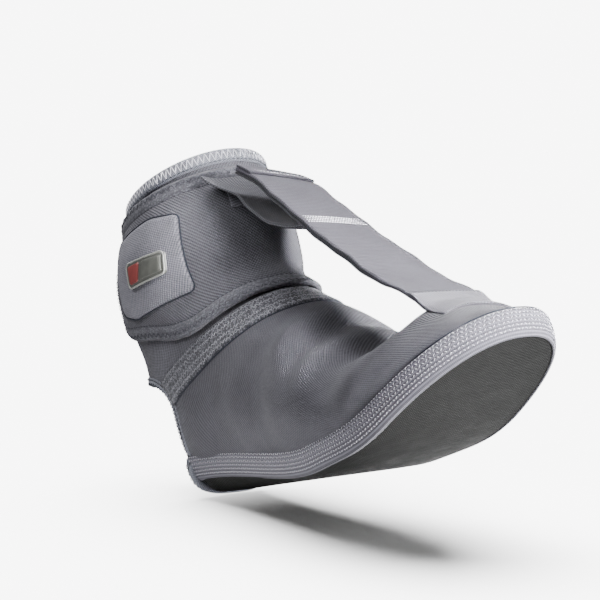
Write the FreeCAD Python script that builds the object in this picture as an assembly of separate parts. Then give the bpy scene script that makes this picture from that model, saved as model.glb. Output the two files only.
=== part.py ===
"""Soft ankle foot orthosis: an open-heel knit boot on a bent sole, with an ankle wrap and a dorsiflexion strap.

The model is built with the sole's rear edge at x = 0, the toe along +X and the ground at z = 0. Export moves
the origin forward by ORIGIN_X, to a point on the ground face. Millimetres throughout.
"""
import FreeCAD
import Part
import math
import os

from FreeCAD import Vector

OUT = "parts"
ORIGIN_X = 56.0  # the origin is this far ahead of the sole's rear edge, in the middle of the flat ground face

# Sole: flat under the heel and arch, bent up through an arc, straight again under the toes
SOLE_LENGTH = 250.0
FLAT_LENGTH = 113.0
BEND_RADIUS = 152.6
TOE_PITCH = math.radians(27.4)
REAR_HALF_WIDTH = 20.0
BALL_HALF_WIDTH = 36.8
BALL_SHARE = 0.687  # the widest place, as a share of the length
TOE_POWER = 2.3
OUTSOLE = 2.2
BOARD = 1.4
INSOLE = 4.5

# Edge band round the sole
BAND_HEIGHT = 14.0
BAND_OUTSET = 3.7
BAND_THICKNESS = 3.0
BAND_CLEAR = BAND_OUTSET - BAND_THICKNESS
BAND_LIFT = 0.6  # the band and its binding start this far over the ground face

# Knit upper and ankle sleeve
KNIT = 3.0
SPLIT_GAP = 0.05  # half the gap between the outer and inner panels
UNDER_POWER = 2.4  # superellipse powers of the foot's sections: fuller below, round above
ROUND_POWER = 2.0
TAPE_WIDTH = 16.0
TAPE_THICKNESS = 0.9
SEAM_PITCH = math.radians(24.0)  # slope of the seam between foot and cuff
SEAM_GAP = 0.4
FOOT_REAR_ANGLE = 246.0  # behind the ankle the foot ends on this line, and the cuff on the next
CUFF_REAR_ANGLE = 221.0
BINDING_WIDTH = 5.0
BINDING_PROUD = 0.8
CRUMB = 60.0  # volume under which a cut-off corner of a border or binding is dropped
RIM_HEIGHT = 9.0

# Ankle wrap
WRAP_GAP = 0.5
WRAP_THICKNESS = 3.0
WRAP_BORDER = 7.0
WRAP_ROOT_ANGLE = 38.0  # degrees round from the front, on the outer side
ROOT_OUTSET = 2.5  # how far the flap's hinge line stands outside the wrap
ROOT_GAP = 0.5
WRAP_END_X = -36.0

# Dorsiflexion strap
STRAP_WIDTH = 39.0
STRAP_THICKNESS = 2.4
TAB_WIDTH = 37.0
TAB_THICKNESS = 1.6
STITCH_ROWS = 3
HEM_THICKNESS = 1.0
STITCHES = 9

# Side-view outlines on the cuff
WRAP_SIDE = [(-80.0, 88.0), (-30.0, 78.5), (28.0, 79.5), (42.0, 84.5), (56.0, 96.5), (90.0, 106.0),
             (90.0, 190.0), (60.0, 162.0), (38.0, 153.5), (-80.0, 121.0)]
FLAP_SIDE = [(WRAP_END_X, 80.5), (28.0, 79.5), (42.0, 84.5), (56.0, 96.5), (90.0, 106.0),
             (90.0, 190.0), (60.0, 162.0), (38.0, 153.5), (WRAP_END_X, 134.0)]
PAD_SIDE = [(-26.0, 92.0), (12.0, 92.0), (12.0, 132.0), (-26.0, 122.0)]
PATCH_SIDE = [(-19.0, 92.0), (30.0, 101.0), (27.0, 140.0), (-19.0, 127.0)]
BADGE_SIDE = [(-11.0, 105.0), (22.0, 111.0), (21.5, 122.0), (-11.5, 117.0)]
PAD_THICKNESS = 0.9
PATCH_THICKNESS = 1.2
BADGE_RIM = 2.0

# Open heel, in side view
HEEL_SIDE = [(1.0, -40.0), (1.0, 46.0), (-14.0, 56.5), (-110.0, 71.0), (-110.0, -40.0)]
HEEL_CORNER = 12.0

# Joint axes, in side view (x, z)
ANKLE = (0.0, 62.0)
FOREFOOT = (150.0, 0.0)
FOREFOOT_CUT = math.radians(13.7)
WIDE = 90.0  # half width that clears the whole part


# ---------------------------------------------------------------- basic helpers

def save(name, shape):
    """Write one sub-part, moved to the part's own origin."""
    moved = shape.copy()
    moved.translate(Vector(-ORIGIN_X, 0, 0))
    moved.exportStep(os.path.join(OUT, name + ".step"))
    volumes = [round(solid.Volume) for solid in moved.Solids]
    print(name, "solids", len(moved.Solids), "volumes", volumes, "valid", moved.isValid())


def side_polygon(points):
    """A closed face in side view from (x, z) points."""
    corners = [Vector(x, 0, z) for x, z in points]
    return Part.Face(Part.makePolygon(corners + corners[:1]))


def across(face, low=-WIDE, high=WIDE):
    """Side-view face swept from y = low to y = high."""
    start = face.copy()
    start.translate(Vector(0, low, 0))
    return start.extrude(Vector(0, high - low, 0))


def rounded(points, radius):
    """Side-view face with every corner rounded."""
    face = side_polygon(points)
    wire = face.OuterWire.makeOffset2D(-radius)
    return Part.Face(wire.makeOffset2D(radius))


def side_box(x0, x1, z0, z1, y0=-WIDE, y1=WIDE):
    """Upright box between two corners."""
    return Part.makeBox(x1 - x0, y1 - y0, z1 - z0, Vector(x0, y0, z0))


def solids_of(shape, least=5.0):
    """The solids of a cut result, without crumbs."""
    kept = [solid for solid in shape.Solids if solid.Volume > least]
    return kept[0] if len(kept) == 1 else Part.makeCompound(kept)


# ---------------------------------------------------------------- sole

def sole_point(s, lift=0.0):
    """Side-view point (x, z) and slope at length s along the ground face, lifted along its normal."""
    angle = min(max(s - FLAT_LENGTH, 0.0) / BEND_RADIUS, TOE_PITCH)
    x = min(s, FLAT_LENGTH) + BEND_RADIUS * math.sin(angle)
    z = BEND_RADIUS * (1 - math.cos(angle))
    rest = max(s - FLAT_LENGTH - BEND_RADIUS * TOE_PITCH, 0.0)
    x += rest * math.cos(angle) - lift * math.sin(angle)
    z += rest * math.sin(angle) + lift * math.cos(angle)
    return x, z, angle


def half_width(s):
    """Half the ground face's width at length s."""
    ball = BALL_SHARE * SOLE_LENGTH
    if s <= ball:
        share = max(s, 0.0) / ball
        return REAR_HALF_WIDTH + (BALL_HALF_WIDTH - REAR_HALF_WIDTH) * share * share * (3 - 2 * share)
    share = min((s - ball) / (SOLE_LENGTH - ball), 1.0)
    return BALL_HALF_WIDTH * (1 - share ** TOE_POWER) ** (1 / TOE_POWER)


def outline(outset):
    """Plan-view face of the sole, grown by outset everywhere but at its straight rear edge."""
    ball = BALL_SHARE * SOLE_LENGTH
    side = []
    for step in range(7):
        s = ball * step / 6
        side.append(Vector(sole_point(s)[0], half_width(s) + outset, 0))
    toe = SOLE_LENGTH - ball
    for step in range(1, 9):
        turn = math.pi / 2 * step / 8
        s = ball + toe * math.sin(turn) ** (2 / TOE_POWER)
        y = BALL_HALF_WIDTH * max(math.cos(turn), 0.0) ** (2 / TOE_POWER)
        reach = math.sin(turn) * outset
        x = sole_point(s + reach)[0]
        side.append(Vector(x, y + outset * math.cos(turn) if step < 8 else 0.0, 0))
    other = [Vector(p.x, -p.y, 0) for p in reversed(side[:-1])]
    curve = Part.BSplineCurve()
    curve.interpolate(side + other)
    rear = Part.LineSegment(other[-1], side[0])
    return Part.Face(Part.Wire([curve.toShape(), rear.toShape()]))


def profile_line(lift, x_rear, s_end):
    """Edges of the bent side profile at a height over the ground face, from the rear to s_end."""
    start = Vector(x_rear, 0, lift)
    points = []
    for share in (0.0, 0.5, 1.0):
        x, z, _ = sole_point(FLAT_LENGTH + BEND_RADIUS * TOE_PITCH * share, lift)
        points.append(Vector(x, 0, z))
    x, z, _ = sole_point(s_end, lift)
    return [
        Part.LineSegment(start, points[0]).toShape(),
        Part.Arc(*points).toShape(),
        Part.LineSegment(points[2], Vector(x, 0, z)).toShape(),
    ]


def slab(low, high, x_rear=-20.0, s_end=SOLE_LENGTH + 30.0):
    """Bent slab between two heights over the ground face, full width."""
    bottom = profile_line(low, x_rear, s_end)
    top = profile_line(high, x_rear, s_end)
    front = Part.LineSegment(bottom[-1].Vertexes[-1].Point, top[-1].Vertexes[-1].Point).toShape()
    rear = Part.LineSegment(bottom[0].Vertexes[0].Point, top[0].Vertexes[0].Point).toShape()
    face = Part.Face(Part.Wire(Part.__sortEdges__(bottom + [front] + top + [rear])))
    return across(face)


def layer(low, high, outset):
    """One sole layer: the plan outline cut from a bent slab."""
    column = outline(outset)
    column.translate(Vector(0, 0, -30))
    return column.extrude(Vector(0, 0, 150)).common(slab(low, high))


# ---------------------------------------------------------------- upper

def sole_section(s, height):
    """Section across the foot at length s: bottom, top, half width, lower and upper roundness."""
    x0, z0, _ = sole_point(s)
    x1, z1, _ = sole_point(s, height)
    middle = height / 2
    power = 2.6 if BAND_HEIGHT < middle else 2.0
    share = (1 - (abs(BAND_HEIGHT - middle) / middle) ** power) ** (1 / power)
    return (x0, z0), (x1, z1), (half_width(s) + BAND_OUTSET - 0.2) / share


# (bottom or rear point, top or front point, half width) of the outer surface, from toe tip to rim
TOE_SECTIONS = [(253.0, 14.6), (249.0, 15.6), (242.0, 19.0), (232.0, 25.5), (215.0, 34.0),
                (190.0, 42.5), (165.0, 52.0), (140.0, 63.0), (113.0, 73.0)]
FAN_SECTIONS = [
    ((85.0, 0.0), (98.0, 82.0), 41.0),
    ((55.0, 0.0), (87.0, 88.0), 40.5),
    ((25.0, 0.0), (77.0, 92.5), 40.0),
    ((-5.0, 3.0), (70.0, 96.0), 39.5),
    ((-30.0, 25.0), (65.0, 99.0), 39.5),
    ((-44.0, 46.0), (61.5, 102.0), 40.0),
]
CUFF_SECTIONS = [
    ((-47.5, 64.0), (58.5, 106.0), 40.3),
    ((-49.5, 78.0), (56.0, 112.0), 40.5),
    ((-48.0, 100.0), (52.0, 128.0), 38.8),
    ((-43.5, 126.0), (43.5, 151.0), 34.5),
    ((-41.5, 143.0), (38.5, 166.0), 32.0),
]


def ring(rear, front, half, inset, n_low, n_high, count=24):
    """Closed section wire between two side-view points, moved inwards by inset."""
    along = Vector(front[0] - rear[0], 0, front[1] - rear[1])
    length = along.Length / 2
    along.normalize()
    centre = Vector((rear[0] + front[0]) / 2, 0, (rear[1] + front[1]) / 2)
    points = []
    for step in range(count):
        turn = 2 * math.pi * step / count
        c, s = math.cos(turn), math.sin(turn)
        power = 2 / (n_high if c >= 0 else n_low)
        u = math.copysign(abs(c) ** power, c) * (length - inset)
        v = math.copysign(abs(s) ** power, s) * (half - inset)
        points.append(centre + along * u + Vector(0, v, 0))
    curve = Part.BSplineCurve()
    curve.interpolate(points, True)
    return Part.Wire(curve.toShape())


def foot_solid(inset):
    """The boot's foot, from the toe tip up to the ankle, filled."""
    toe = []
    for s, height in TOE_SECTIONS:
        rear, front, half = sole_section(s, height)
        if half - inset > 1.5 and height / 2 - inset > 1.5:
            toe.append(ring(rear, front, half, inset, UNDER_POWER, ROUND_POWER))
    heel = [toe[-1]]
    for rear, front, half in FAN_SECTIONS + CUFF_SECTIONS[:1]:
        heel.append(ring(rear, front, half, inset, UNDER_POWER, ROUND_POWER))
    return Part.makeLoft(toe, True).fuse(Part.makeLoft(heel, True))


def cuff_solid(inset, over=0.0):
    """The ankle sleeve's outer form, filled; over lengthens it past the rim."""
    sections = FAN_SECTIONS[-2:] + CUFF_SECTIONS
    if over:
        (x0, z0), (x1, z1), half = CUFF_SECTIONS[-1]
        sections = sections + [((x0 + 0.1 * over, z0 + over), (x1 - 0.4 * over, z1 + over), half)]
    wires = [ring(rear, front, half, inset, ROUND_POWER, ROUND_POWER) for rear, front, half in sections]
    return Part.makeLoft(wires, True)


def seam_zone(offset, rear_angle, far_z):
    """Region on one side of the foot-to-cuff seam, closed behind the ankle axis at rear_angle degrees."""
    start = Vector(ANKLE[0] - math.sin(SEAM_PITCH) * offset, 0, ANKLE[1] + math.cos(SEAM_PITCH) * offset)
    end = start + Vector(math.cos(SEAM_PITCH), 0, math.sin(SEAM_PITCH)) * 260
    turn = math.radians(rear_angle)
    low = start + Vector(math.cos(turn), 0, math.sin(turn)) * 150
    corners = [(start.x, start.z), (end.x, end.z), (end.x, far_z), (low.x, far_z), (low.x, low.z)]
    return across(side_polygon(corners))


def below_seam(offset=0.0):
    """Foot side of the seam, moved down by offset."""
    return seam_zone(-offset, FOOT_REAR_ANGLE, -100.0)


def above_seam():
    """Cuff side of the seam."""
    return seam_zone(SEAM_GAP, CUFF_REAR_ANGLE, 320.0)


def heel_opening(grow=0.0):
    """The open heel, swept across; grow widens it for the binding."""
    wire = side_polygon(HEEL_SIDE).OuterWire.makeOffset2D(-HEEL_CORNER).makeOffset2D(HEEL_CORNER)
    if grow:
        wire = wire.makeOffset2D(grow)
    return across(Part.Face(wire))


def forefoot_half(front, gap=0.25):
    """Everything ahead of, or behind, the plane where the forefoot bends."""
    box = Part.makeBox(400, 2 * WIDE, 400, Vector(gap if front else -400 - gap, -WIDE, -120))
    box.rotate(Vector(0, 0, 0), Vector(0, 1, 0), -math.degrees(FOREFOOT_CUT))
    box.translate(Vector(FOREFOOT[0], 0, FOREFOOT[1]))
    return box


# ---------------------------------------------------------------- sub-parts

def sole_parts():
    """Outsole, board and insole, each cut where the forefoot bends."""
    stack = {
        "outsole": (0.0, OUTSOLE, BAND_CLEAR - 0.1),
        "sole_board": (OUTSOLE, OUTSOLE + BOARD, -3.0),
        "insole": (OUTSOLE + BOARD, OUTSOLE + BOARD + INSOLE, -0.5),
    }
    for name, (low, high, outset) in stack.items():
        whole = layer(low, high, outset)
        save(name + "_heel", solids_of(whole.common(forefoot_half(False))))
        save(name + "_toe", solids_of(whole.common(forefoot_half(True))))


def band_ring(outset):
    """Ring that stands round the sole's edge, out to outset."""
    return layer(BAND_LIFT, BAND_HEIGHT, outset).cut(layer(-5.0, 40.0, BAND_CLEAR))


def on_side(shape, outer, gap=0.0):
    """The outer or the inner half of a shape."""
    low, high = (-WIDE, -gap) if outer else (gap, WIDE)
    return solids_of(shape.common(side_box(-WIDE, 300, -40, 250, low, high)))


def band_parts():
    """Elastic band that stands round the sole's edge, open at the heel."""
    whole = band_ring(BAND_OUTSET)
    rear = whole.common(forefoot_half(False)).cut(heel_opening(BINDING_WIDTH))
    save("edge_band_outer_side", on_side(rear, True))
    save("edge_band_inner_side", on_side(rear, False))
    save("edge_band_toe", solids_of(whole.common(forefoot_half(True))))


def foot_parts(shell, tape_shell):
    """Knit foot panels, toe panel and the flat tape that covers the seam to the cuff."""
    over_band = slab(BAND_HEIGHT + 0.1, 200.0)
    knit = shell.common(over_band).common(below_seam()).cut(heel_opening(BINDING_WIDTH))
    rear = knit.common(forefoot_half(False))
    save("foot_panel_outer", on_side(rear, True, SPLIT_GAP))
    save("foot_panel_inner", on_side(rear, False, SPLIT_GAP))
    save("toe_panel", solids_of(knit.common(forefoot_half(True))))
    strip = tape_shell.common(below_seam()).cut(below_seam(TAPE_WIDTH)).cut(heel_opening(BINDING_WIDTH))
    save("seam_tape_outer", on_side(strip, True, SPLIT_GAP))
    save("seam_tape_inner", on_side(strip, False, SPLIT_GAP))


def heel_binding_parts(foot_wall, cuff_wall):
    """Bound edge of the heel opening: up both sides, across the sole's rear edge, and over the Achilles."""
    strip = heel_opening(BINDING_WIDTH).cut(heel_opening())
    high = foot_wall.common(strip).common(below_seam()).common(side_box(-60, 60, BAND_HEIGHT - 0.4, 120))
    low = band_ring(BAND_OUTSET + BINDING_PROUD).common(strip)
    across_sole = side_box(-2.0, -0.1, 0.5, OUTSOLE + BOARD + INSOLE, -REAR_HALF_WIDTH, REAR_HALF_WIDTH)
    sides = [solid for solid in high.fuse(low).Solids if solid.Volume > 50.0]
    save("heel_binding_lower", Part.makeCompound(sides + [across_sole]))
    save("heel_binding_upper", solids_of(cuff_wall.common(strip).common(above_seam()), CRUMB))


def rim_zone(low, high):
    """Slice of the cuff between two depths under its rim plane, measured along the leg."""
    (x0, z0), (x1, z1), _ = CUFF_SECTIONS[-1]
    along = Vector(x1 - x0, 0, z1 - z0)
    along.normalize()
    normal = Vector(-along.z, 0, along.x)
    middle = Vector((x0 + x1) / 2, 0, (z0 + z1) / 2)
    corners = []
    for reach, depth in ((-120, low), (120, low), (120, high), (-120, high)):
        point = middle + along * reach - normal * depth
        corners.append((point.x, point.z))
    return across(side_polygon(corners))


def wall(low, high):
    """Wall round the cuff between two distances outside the sleeve's surface."""
    return cuff_solid(-high, 8.0).cut(cuff_solid(-low, 8.0))


def cuff_parts():
    """Ankle sleeve with its loop pad let in, and the rim binding."""
    sleeve = wall(-KNIT, 0.0).common(above_seam()).cut(heel_opening(BINDING_WIDTH))
    sleeve = sleeve.cut(rim_zone(-30.0, RIM_HEIGHT))
    zone = across(rounded(PAD_SIDE, 6.0), -WIDE, 0)
    save("sleeve_loop_pad", solids_of(wall(-PAD_THICKNESS, 0.0).common(zone)))
    save("ankle_sleeve", solids_of(sleeve.cut(wall(-PAD_THICKNESS, 1.0).common(zone))))
    rim = wall(-KNIT - BINDING_PROUD, BINDING_PROUD)
    save("rim_binding", solids_of(rim.common(rim_zone(-0.5, RIM_HEIGHT))))


def root_plane():
    """A point on the wrap's root line, the line's direction and the outward normal there."""
    turn = math.radians(WRAP_ROOT_ANGLE)
    reach = WRAP_GAP + WRAP_THICKNESS + ROOT_OUTSET
    ends = []
    for (x0, z0), (x1, z1), half in (CUFF_SECTIONS[1], CUFF_SECTIONS[3]):
        along = Vector(x1 - x0, 0, z1 - z0)
        length = along.Length / 2
        along.normalize()
        centre = Vector((x0 + x1) / 2, 0, (z0 + z1) / 2)
        forward = along * (math.cos(turn) * (length + reach))
        ends.append(centre + forward - Vector(0, math.sin(turn) * (half + reach), 0))
    direction = (ends[1] - ends[0]).normalize()
    normal = Vector(math.cos(turn), -math.sin(turn) * 1.3, 0).normalize()
    return ends[0], direction, normal


def behind_root(gap, flap):
    """Half space on the flap's side of the root line, or on the fixed side."""
    point, direction, normal = root_plane()
    tangent = direction.cross(normal).normalize()
    side = 1 if flap else -1
    if tangent.x > 0:
        side = -side
    box = Part.makeBox(300, 300, 400, Vector(gap if side > 0 else -300 - gap, -150, -200))
    matrix = FreeCAD.Matrix(tangent.x, normal.x, direction.x, point.x,
                            tangent.y, normal.y, direction.y, point.y,
                            tangent.z, normal.z, direction.z, point.z, 0, 0, 0, 1)
    return box.transformGeometry(matrix)


def wrap_parts():
    """Outer ankle wrap: a fixed part round the front and the inner side, and a flap that peels open."""
    shell = wall(WRAP_GAP, WRAP_GAP + WRAP_THICKNESS)
    whole = side_polygon(WRAP_SIDE)
    core = across(Part.Face(whole.OuterWire.makeOffset2D(-WRAP_BORDER)))
    fixed = shell.common(across(whole)).common(behind_root(ROOT_GAP, False))
    fixed = fixed.cut(side_box(-90, WRAP_END_X + 6, 0, 300, -WIDE, 0))
    save("wrap_fixed_part", solids_of(fixed.common(core), CRUMB))
    save("wrap_fixed_border", solids_of(fixed.cut(core), CRUMB))
    whole = rounded(FLAP_SIDE, 14.0)
    core = across(Part.Face(whole.OuterWire.makeOffset2D(-WRAP_BORDER)), -WIDE, 0)
    flap = shell.common(behind_root(ROOT_GAP, True)).common(across(whole, -WIDE, 0))
    pad = wall(WRAP_GAP, WRAP_GAP + PAD_THICKNESS).common(across(rounded(PAD_SIDE, 6.0), -WIDE, 0))
    save("wrap_hook_pad", solids_of(pad))
    save("wrap_flap", solids_of(flap.common(core).cut(pad)))
    save("wrap_flap_border", solids_of(flap.cut(core), CRUMB))


def patch(name, low, thickness, corners, radius, inset=0.0):
    """A pad on the outer side of the cuff, standing on a surface that is low outside the sleeve."""
    face = rounded(corners, radius)
    if inset:
        face = Part.Face(face.OuterWire.makeOffset2D(-inset))
    save(name, solids_of(wall(low, low + thickness).common(across(face, -WIDE, 0.0))))


def wrap_patches():
    """Sewn closure patch with its badge, and the loop patch on the front that the hook tab grips."""
    top = WRAP_GAP + WRAP_THICKNESS
    patch("closure_patch", top, PATCH_THICKNESS, PATCH_SIDE, 5.0)
    patch("badge_base", top + PATCH_THICKNESS, 1.2, BADGE_SIDE, 2.2)
    patch("badge_inlay", top + PATCH_THICKNESS + 1.2, 0.5, BADGE_SIDE, 2.2, BADGE_RIM)
    loop = wall(top, top + PAD_THICKNESS).common(side_box(30, 90, 126, 150, -16, 16))
    save("front_loop_patch", solids_of(loop))


# ---------------------------------------------------------------- strap

STRAP_PATH = [(60.0, 153.5), (80.0, 143.5), (95.0, 132.5), (111.5, 119.5), (135.0, 103.2), (160.0, 86.5),
              (186.0, 72.4)]
TAB_PATH = [(111.5, 116.3), (97.0, 119.0), (83.0, 125.0), (68.0, 135.0), (58.0, 145.0), (51.5, 154.5),
            (48.0, 162.0)]
ANCHOR_PATH = [(189.6, 70.6), (200.0, 65.6), (212.0, 62.9)]


def ribbon(path, thickness, width, above=0.0):
    """Flat strap whose centre line follows side-view points."""
    curve = Part.BSplineCurve()
    curve.interpolate([Vector(x, 0, z) for x, z in path])
    low, high = [], []
    count = 3 * len(path)
    for step in range(count + 1):
        t = curve.FirstParameter + (curve.LastParameter - curve.FirstParameter) * step / count
        point = curve.value(t)
        tangent = curve.tangent(t)[0]
        normal = Vector(-tangent.z, 0, tangent.x)
        if normal.z < 0:
            normal = normal * -1
        low.append(point + normal * (above - thickness / 2))
        high.append(point + normal * (above + thickness / 2))
    edges = []
    for side in (low, high):
        spline = Part.BSplineCurve()
        spline.interpolate(side)
        edges.append(spline.toShape())
    edges.append(Part.LineSegment(low[0], high[0]).toShape())
    edges.append(Part.LineSegment(low[-1], high[-1]).toShape())
    face = Part.Face(Part.Wire(Part.__sortEdges__(edges)))
    return across(face, -width / 2, width / 2)


def strap_parts():
    """Strap, its hemmed pull end, the hook tab sewn under it and the stitch rows that hold them."""
    save("dorsiflexion_strap", ribbon(STRAP_PATH, STRAP_THICKNESS, STRAP_WIDTH))
    save("strap_hook_tab", ribbon(TAB_PATH, TAB_THICKNESS, TAB_WIDTH))
    hem = [(60.0, 153.5), (63.0, 152.1), (66.0, 150.6)]
    save("strap_end_hem", ribbon(hem, HEM_THICKNESS, STRAP_WIDTH - 1.0, STRAP_THICKNESS / 2 + HEM_THICKNESS))
    stitches = []
    (x0, z0), (x1, z1) = STRAP_PATH[3:5]
    slope = math.atan2(z0 - z1, x1 - x0)
    for row in range(STITCH_ROWS):
        reach = 3.0 + 3.0 * row
        x = x0 + reach * math.cos(slope) + STRAP_THICKNESS / 2 * math.sin(slope)
        z = z0 - reach * math.sin(slope) + STRAP_THICKNESS / 2 * math.cos(slope)
        for step in range(STITCHES):
            stitch = Part.makeBox(0.9, 2.4, 0.8, Vector(-0.45, -1.2, 0.1))
            stitch.rotate(Vector(0, 0, 0), Vector(0, 1, 0), math.degrees(slope))
            stitch.translate(Vector(x, (step - (STITCHES - 1) / 2) * 4.0, z))
            stitches.append(stitch)
    save("strap_stitch_rows", Part.makeCompound(stitches))


def toe_anchor():
    """Patch that is sewn on the toe panel, tents up from it and carries the strap's root."""
    save("toe_anchor_patch", ribbon(ANCHOR_PATH, PATCH_THICKNESS, STRAP_WIDTH))


def main():
    """Build and write every sub-part."""
    os.makedirs(OUT, exist_ok=True)
    sole_parts()
    band_parts()
    shell = foot_solid(0.0).cut(foot_solid(KNIT))
    tape_shell = foot_solid(-TAPE_THICKNESS - 0.1).cut(foot_solid(-0.1))
    foot_parts(shell, tape_shell)
    cuff_wall = cuff_solid(-BINDING_PROUD).cut(cuff_solid(KNIT + BINDING_PROUD, 8.0))
    foot_wall = foot_solid(-BINDING_PROUD).cut(foot_solid(KNIT + BINDING_PROUD))
    heel_binding_parts(foot_wall, cuff_wall)
    cuff_parts()
    wrap_parts()
    wrap_patches()
    strap_parts()
    toe_anchor()
    point, direction, _ = root_plane()
    print("wrap root", point, direction)


main()
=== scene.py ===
import math
import random

import bpy
import numpy as np
from mathutils import Matrix, Vector
from mathutils.bvhtree import BVHTree


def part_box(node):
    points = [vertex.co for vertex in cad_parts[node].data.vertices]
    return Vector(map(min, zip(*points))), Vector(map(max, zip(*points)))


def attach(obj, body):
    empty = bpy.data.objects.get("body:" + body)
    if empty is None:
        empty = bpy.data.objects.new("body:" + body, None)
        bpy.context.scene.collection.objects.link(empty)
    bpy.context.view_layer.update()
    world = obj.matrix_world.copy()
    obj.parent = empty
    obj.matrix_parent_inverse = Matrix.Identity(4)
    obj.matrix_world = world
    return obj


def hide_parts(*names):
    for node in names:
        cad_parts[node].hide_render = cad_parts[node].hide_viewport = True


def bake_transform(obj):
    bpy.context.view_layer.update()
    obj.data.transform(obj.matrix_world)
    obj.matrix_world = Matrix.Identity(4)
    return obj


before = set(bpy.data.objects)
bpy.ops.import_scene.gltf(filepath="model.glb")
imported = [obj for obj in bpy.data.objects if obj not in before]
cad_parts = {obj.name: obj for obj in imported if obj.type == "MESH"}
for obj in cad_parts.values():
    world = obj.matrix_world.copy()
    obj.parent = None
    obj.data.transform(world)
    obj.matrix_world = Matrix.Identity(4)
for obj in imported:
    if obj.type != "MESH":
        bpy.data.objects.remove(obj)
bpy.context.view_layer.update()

# The boot is laid out in millimetres with the sole's rear edge at x = 0, the toe along +X, the ground at
# z = 0 and the outer side at -Y. place() turns such points into the frame's metres.
ORIGIN_X = -1000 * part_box("outsole_heel")[0].x
RANDOM = random.Random(11)
STITCH_JITTER = 0.06  # share of the pitch by which a stitch may be early or late

# Sole
SOLE_LENGTH = 250.0
FLAT_LENGTH = 113.0
BEND_RADIUS = 152.6
TOE_PITCH = math.radians(27.4)
REAR_HALF_WIDTH = 20.0
BALL_HALF_WIDTH = 36.8
BALL = 0.687 * SOLE_LENGTH
TOE_POWER = 2.3
ARCH_LIFT = 2.2
SEAM_DROP = 4.0
OPENING_EDGE = [(-49.0, 57.0), (-34.0, 59.0), (-20.0, 58.5), (-8.0, 56.0), (2.0, 50.5), (6.5, 43.5),
                (5.5, 36.5),
                (3.0, 29.5), (0.0, 22.0), (0.2, 15.0), (1.5, 8.0)]
WRAP_LOW_EDGE = [(-60.0, 83.0), (-26.0, 80.0), (2.0, 77.5), (19.0, 75.0), (37.0, 77.0), (52.0, 83.5),
                 (63.0, 88.0),
                 (78.0, 92.0)]
HEEL_CORNER = 12.0
HEEL_LIFT = 7.0
HEEL_LIFT_LENGTH = 125.0
OUTSOLE = 2.2
INSOLE = 4.0
BAND_HEIGHT = 12.6
BAND_OUTSET = 3.7
BAND_STITCH_HEIGHTS = (2.6, 4.4, 6.2, 8.0, 9.8, 11.4)

# Upper
KNIT = 3.0
ANKLE = np.array([0.0, 0.0, 62.0])
SEAM_PITCH = math.radians(24.0)
TAPE_WIDTH = 16.0
FOREFOOT = np.array([150.0, 0.0, 0.0])
FOREFOOT_TILT = math.radians(13.7)
FOREFOOT_REACH = 32  # from the ball to where its bend starts and ends
CUFF_REACH = 24  # above the ankle axis to where the cuff stops bending

# Cuff and wrap
LEG_LEAN = math.radians(15.0)
LEG_FOOT = np.array([3.0, 0.0, 92.0])
RIM_WIDTH = 7.5
WRAP_GAP = 0.6
WRAP_THICKNESS = 3.0
BORDER = 8.0
FLAP_END_ANGLE = math.radians(-135.0)
INNER_END_ANGLE = math.radians(118.0)
FLAP_CORNER = 11.0
CUFF_MIDDLE = np.array([3.0, 0, 110.0])
FLAP_ROOT = [(48.0, -22.0, 110.0), (38.0, -39.0, 110.0)]
HOOK_FIELD = (math.radians(-125), math.radians(-72), 95.0, 132.0)  # two angles and two heights

# Strap
STRAP_WIDTH = 39.0
STRAP_THICKNESS = 2.2
STRAP_ROOT = [(201.0, 0, 64.6), (182.0, 0, 74.6)]
TOE_LANDING = (190.0, 204.0)  # where the strap starts to follow the toe and follows it fully


# ------------------------------------------------------------------ shape helpers

def place(points):
    """Layout millimetres to frame metres."""
    out = np.array(points, float).reshape(-1, 3)
    out[:, 0] -= ORIGIN_X
    return out / 1000


def smooth_step(x, low, high):
    """0 below low, 1 above high, smooth between."""
    t = np.clip((np.asarray(x, float) - low) / (high - low), 0, 1)
    return t * t * (3 - 2 * t)


def hump(x, centre, width):
    """A soft bump of height 1."""
    return np.exp(-((np.asarray(x, float) - centre) / width) ** 2)


def unit(v):
    """Vectors scaled to length 1."""
    v = np.asarray(v, float)
    return v / np.maximum(np.linalg.norm(v, axis=-1, keepdims=True), 1e-9)


def curve_through(knots, values, x):
    """Smooth curve through values at knots, read at x."""
    knots, values = np.asarray(knots, float), np.asarray(values, float)
    if values.ndim == 1:
        values = values[:, None]
    slope = np.gradient(values, knots, axis=0)
    k = np.clip(np.searchsorted(knots, x, side="right") - 1, 0, len(knots) - 2)
    h = (knots[k + 1] - knots[k])[:, None]
    t = ((x - knots[k]) / h[:, 0])[:, None]
    out = ((2 * t ** 3 - 3 * t ** 2 + 1) * values[k] + (t ** 3 - 2 * t ** 2 + t) * h * slope[k]
           + (3 * t ** 2 - 2 * t ** 3) * values[k + 1] + (t ** 3 - t ** 2) * h * slope[k + 1])
    return out


def along_path(points, count):
    """The same smooth path, read at evenly spaced places."""
    points = np.asarray(points, float)
    steps = np.linalg.norm(np.diff(points, axis=0), axis=1)
    knots = np.concatenate([[0], np.cumsum(steps)])
    fine = curve_through(knots, points, np.linspace(0, knots[-1], 12 * len(points) + 2 * count))
    length = np.concatenate([[0], np.cumsum(np.linalg.norm(np.diff(fine, axis=0), axis=1))])
    wanted = np.linspace(0, length[-1], count)
    return np.stack([np.interp(wanted, length, fine[:, k]) for k in range(fine.shape[1])], 1)


def arc_lengths(points):
    """Distance along a row of points."""
    return np.concatenate([[0], np.cumsum(np.linalg.norm(np.diff(points, axis=0), axis=1))])


# ------------------------------------------------------------------ mesh helpers

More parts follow.
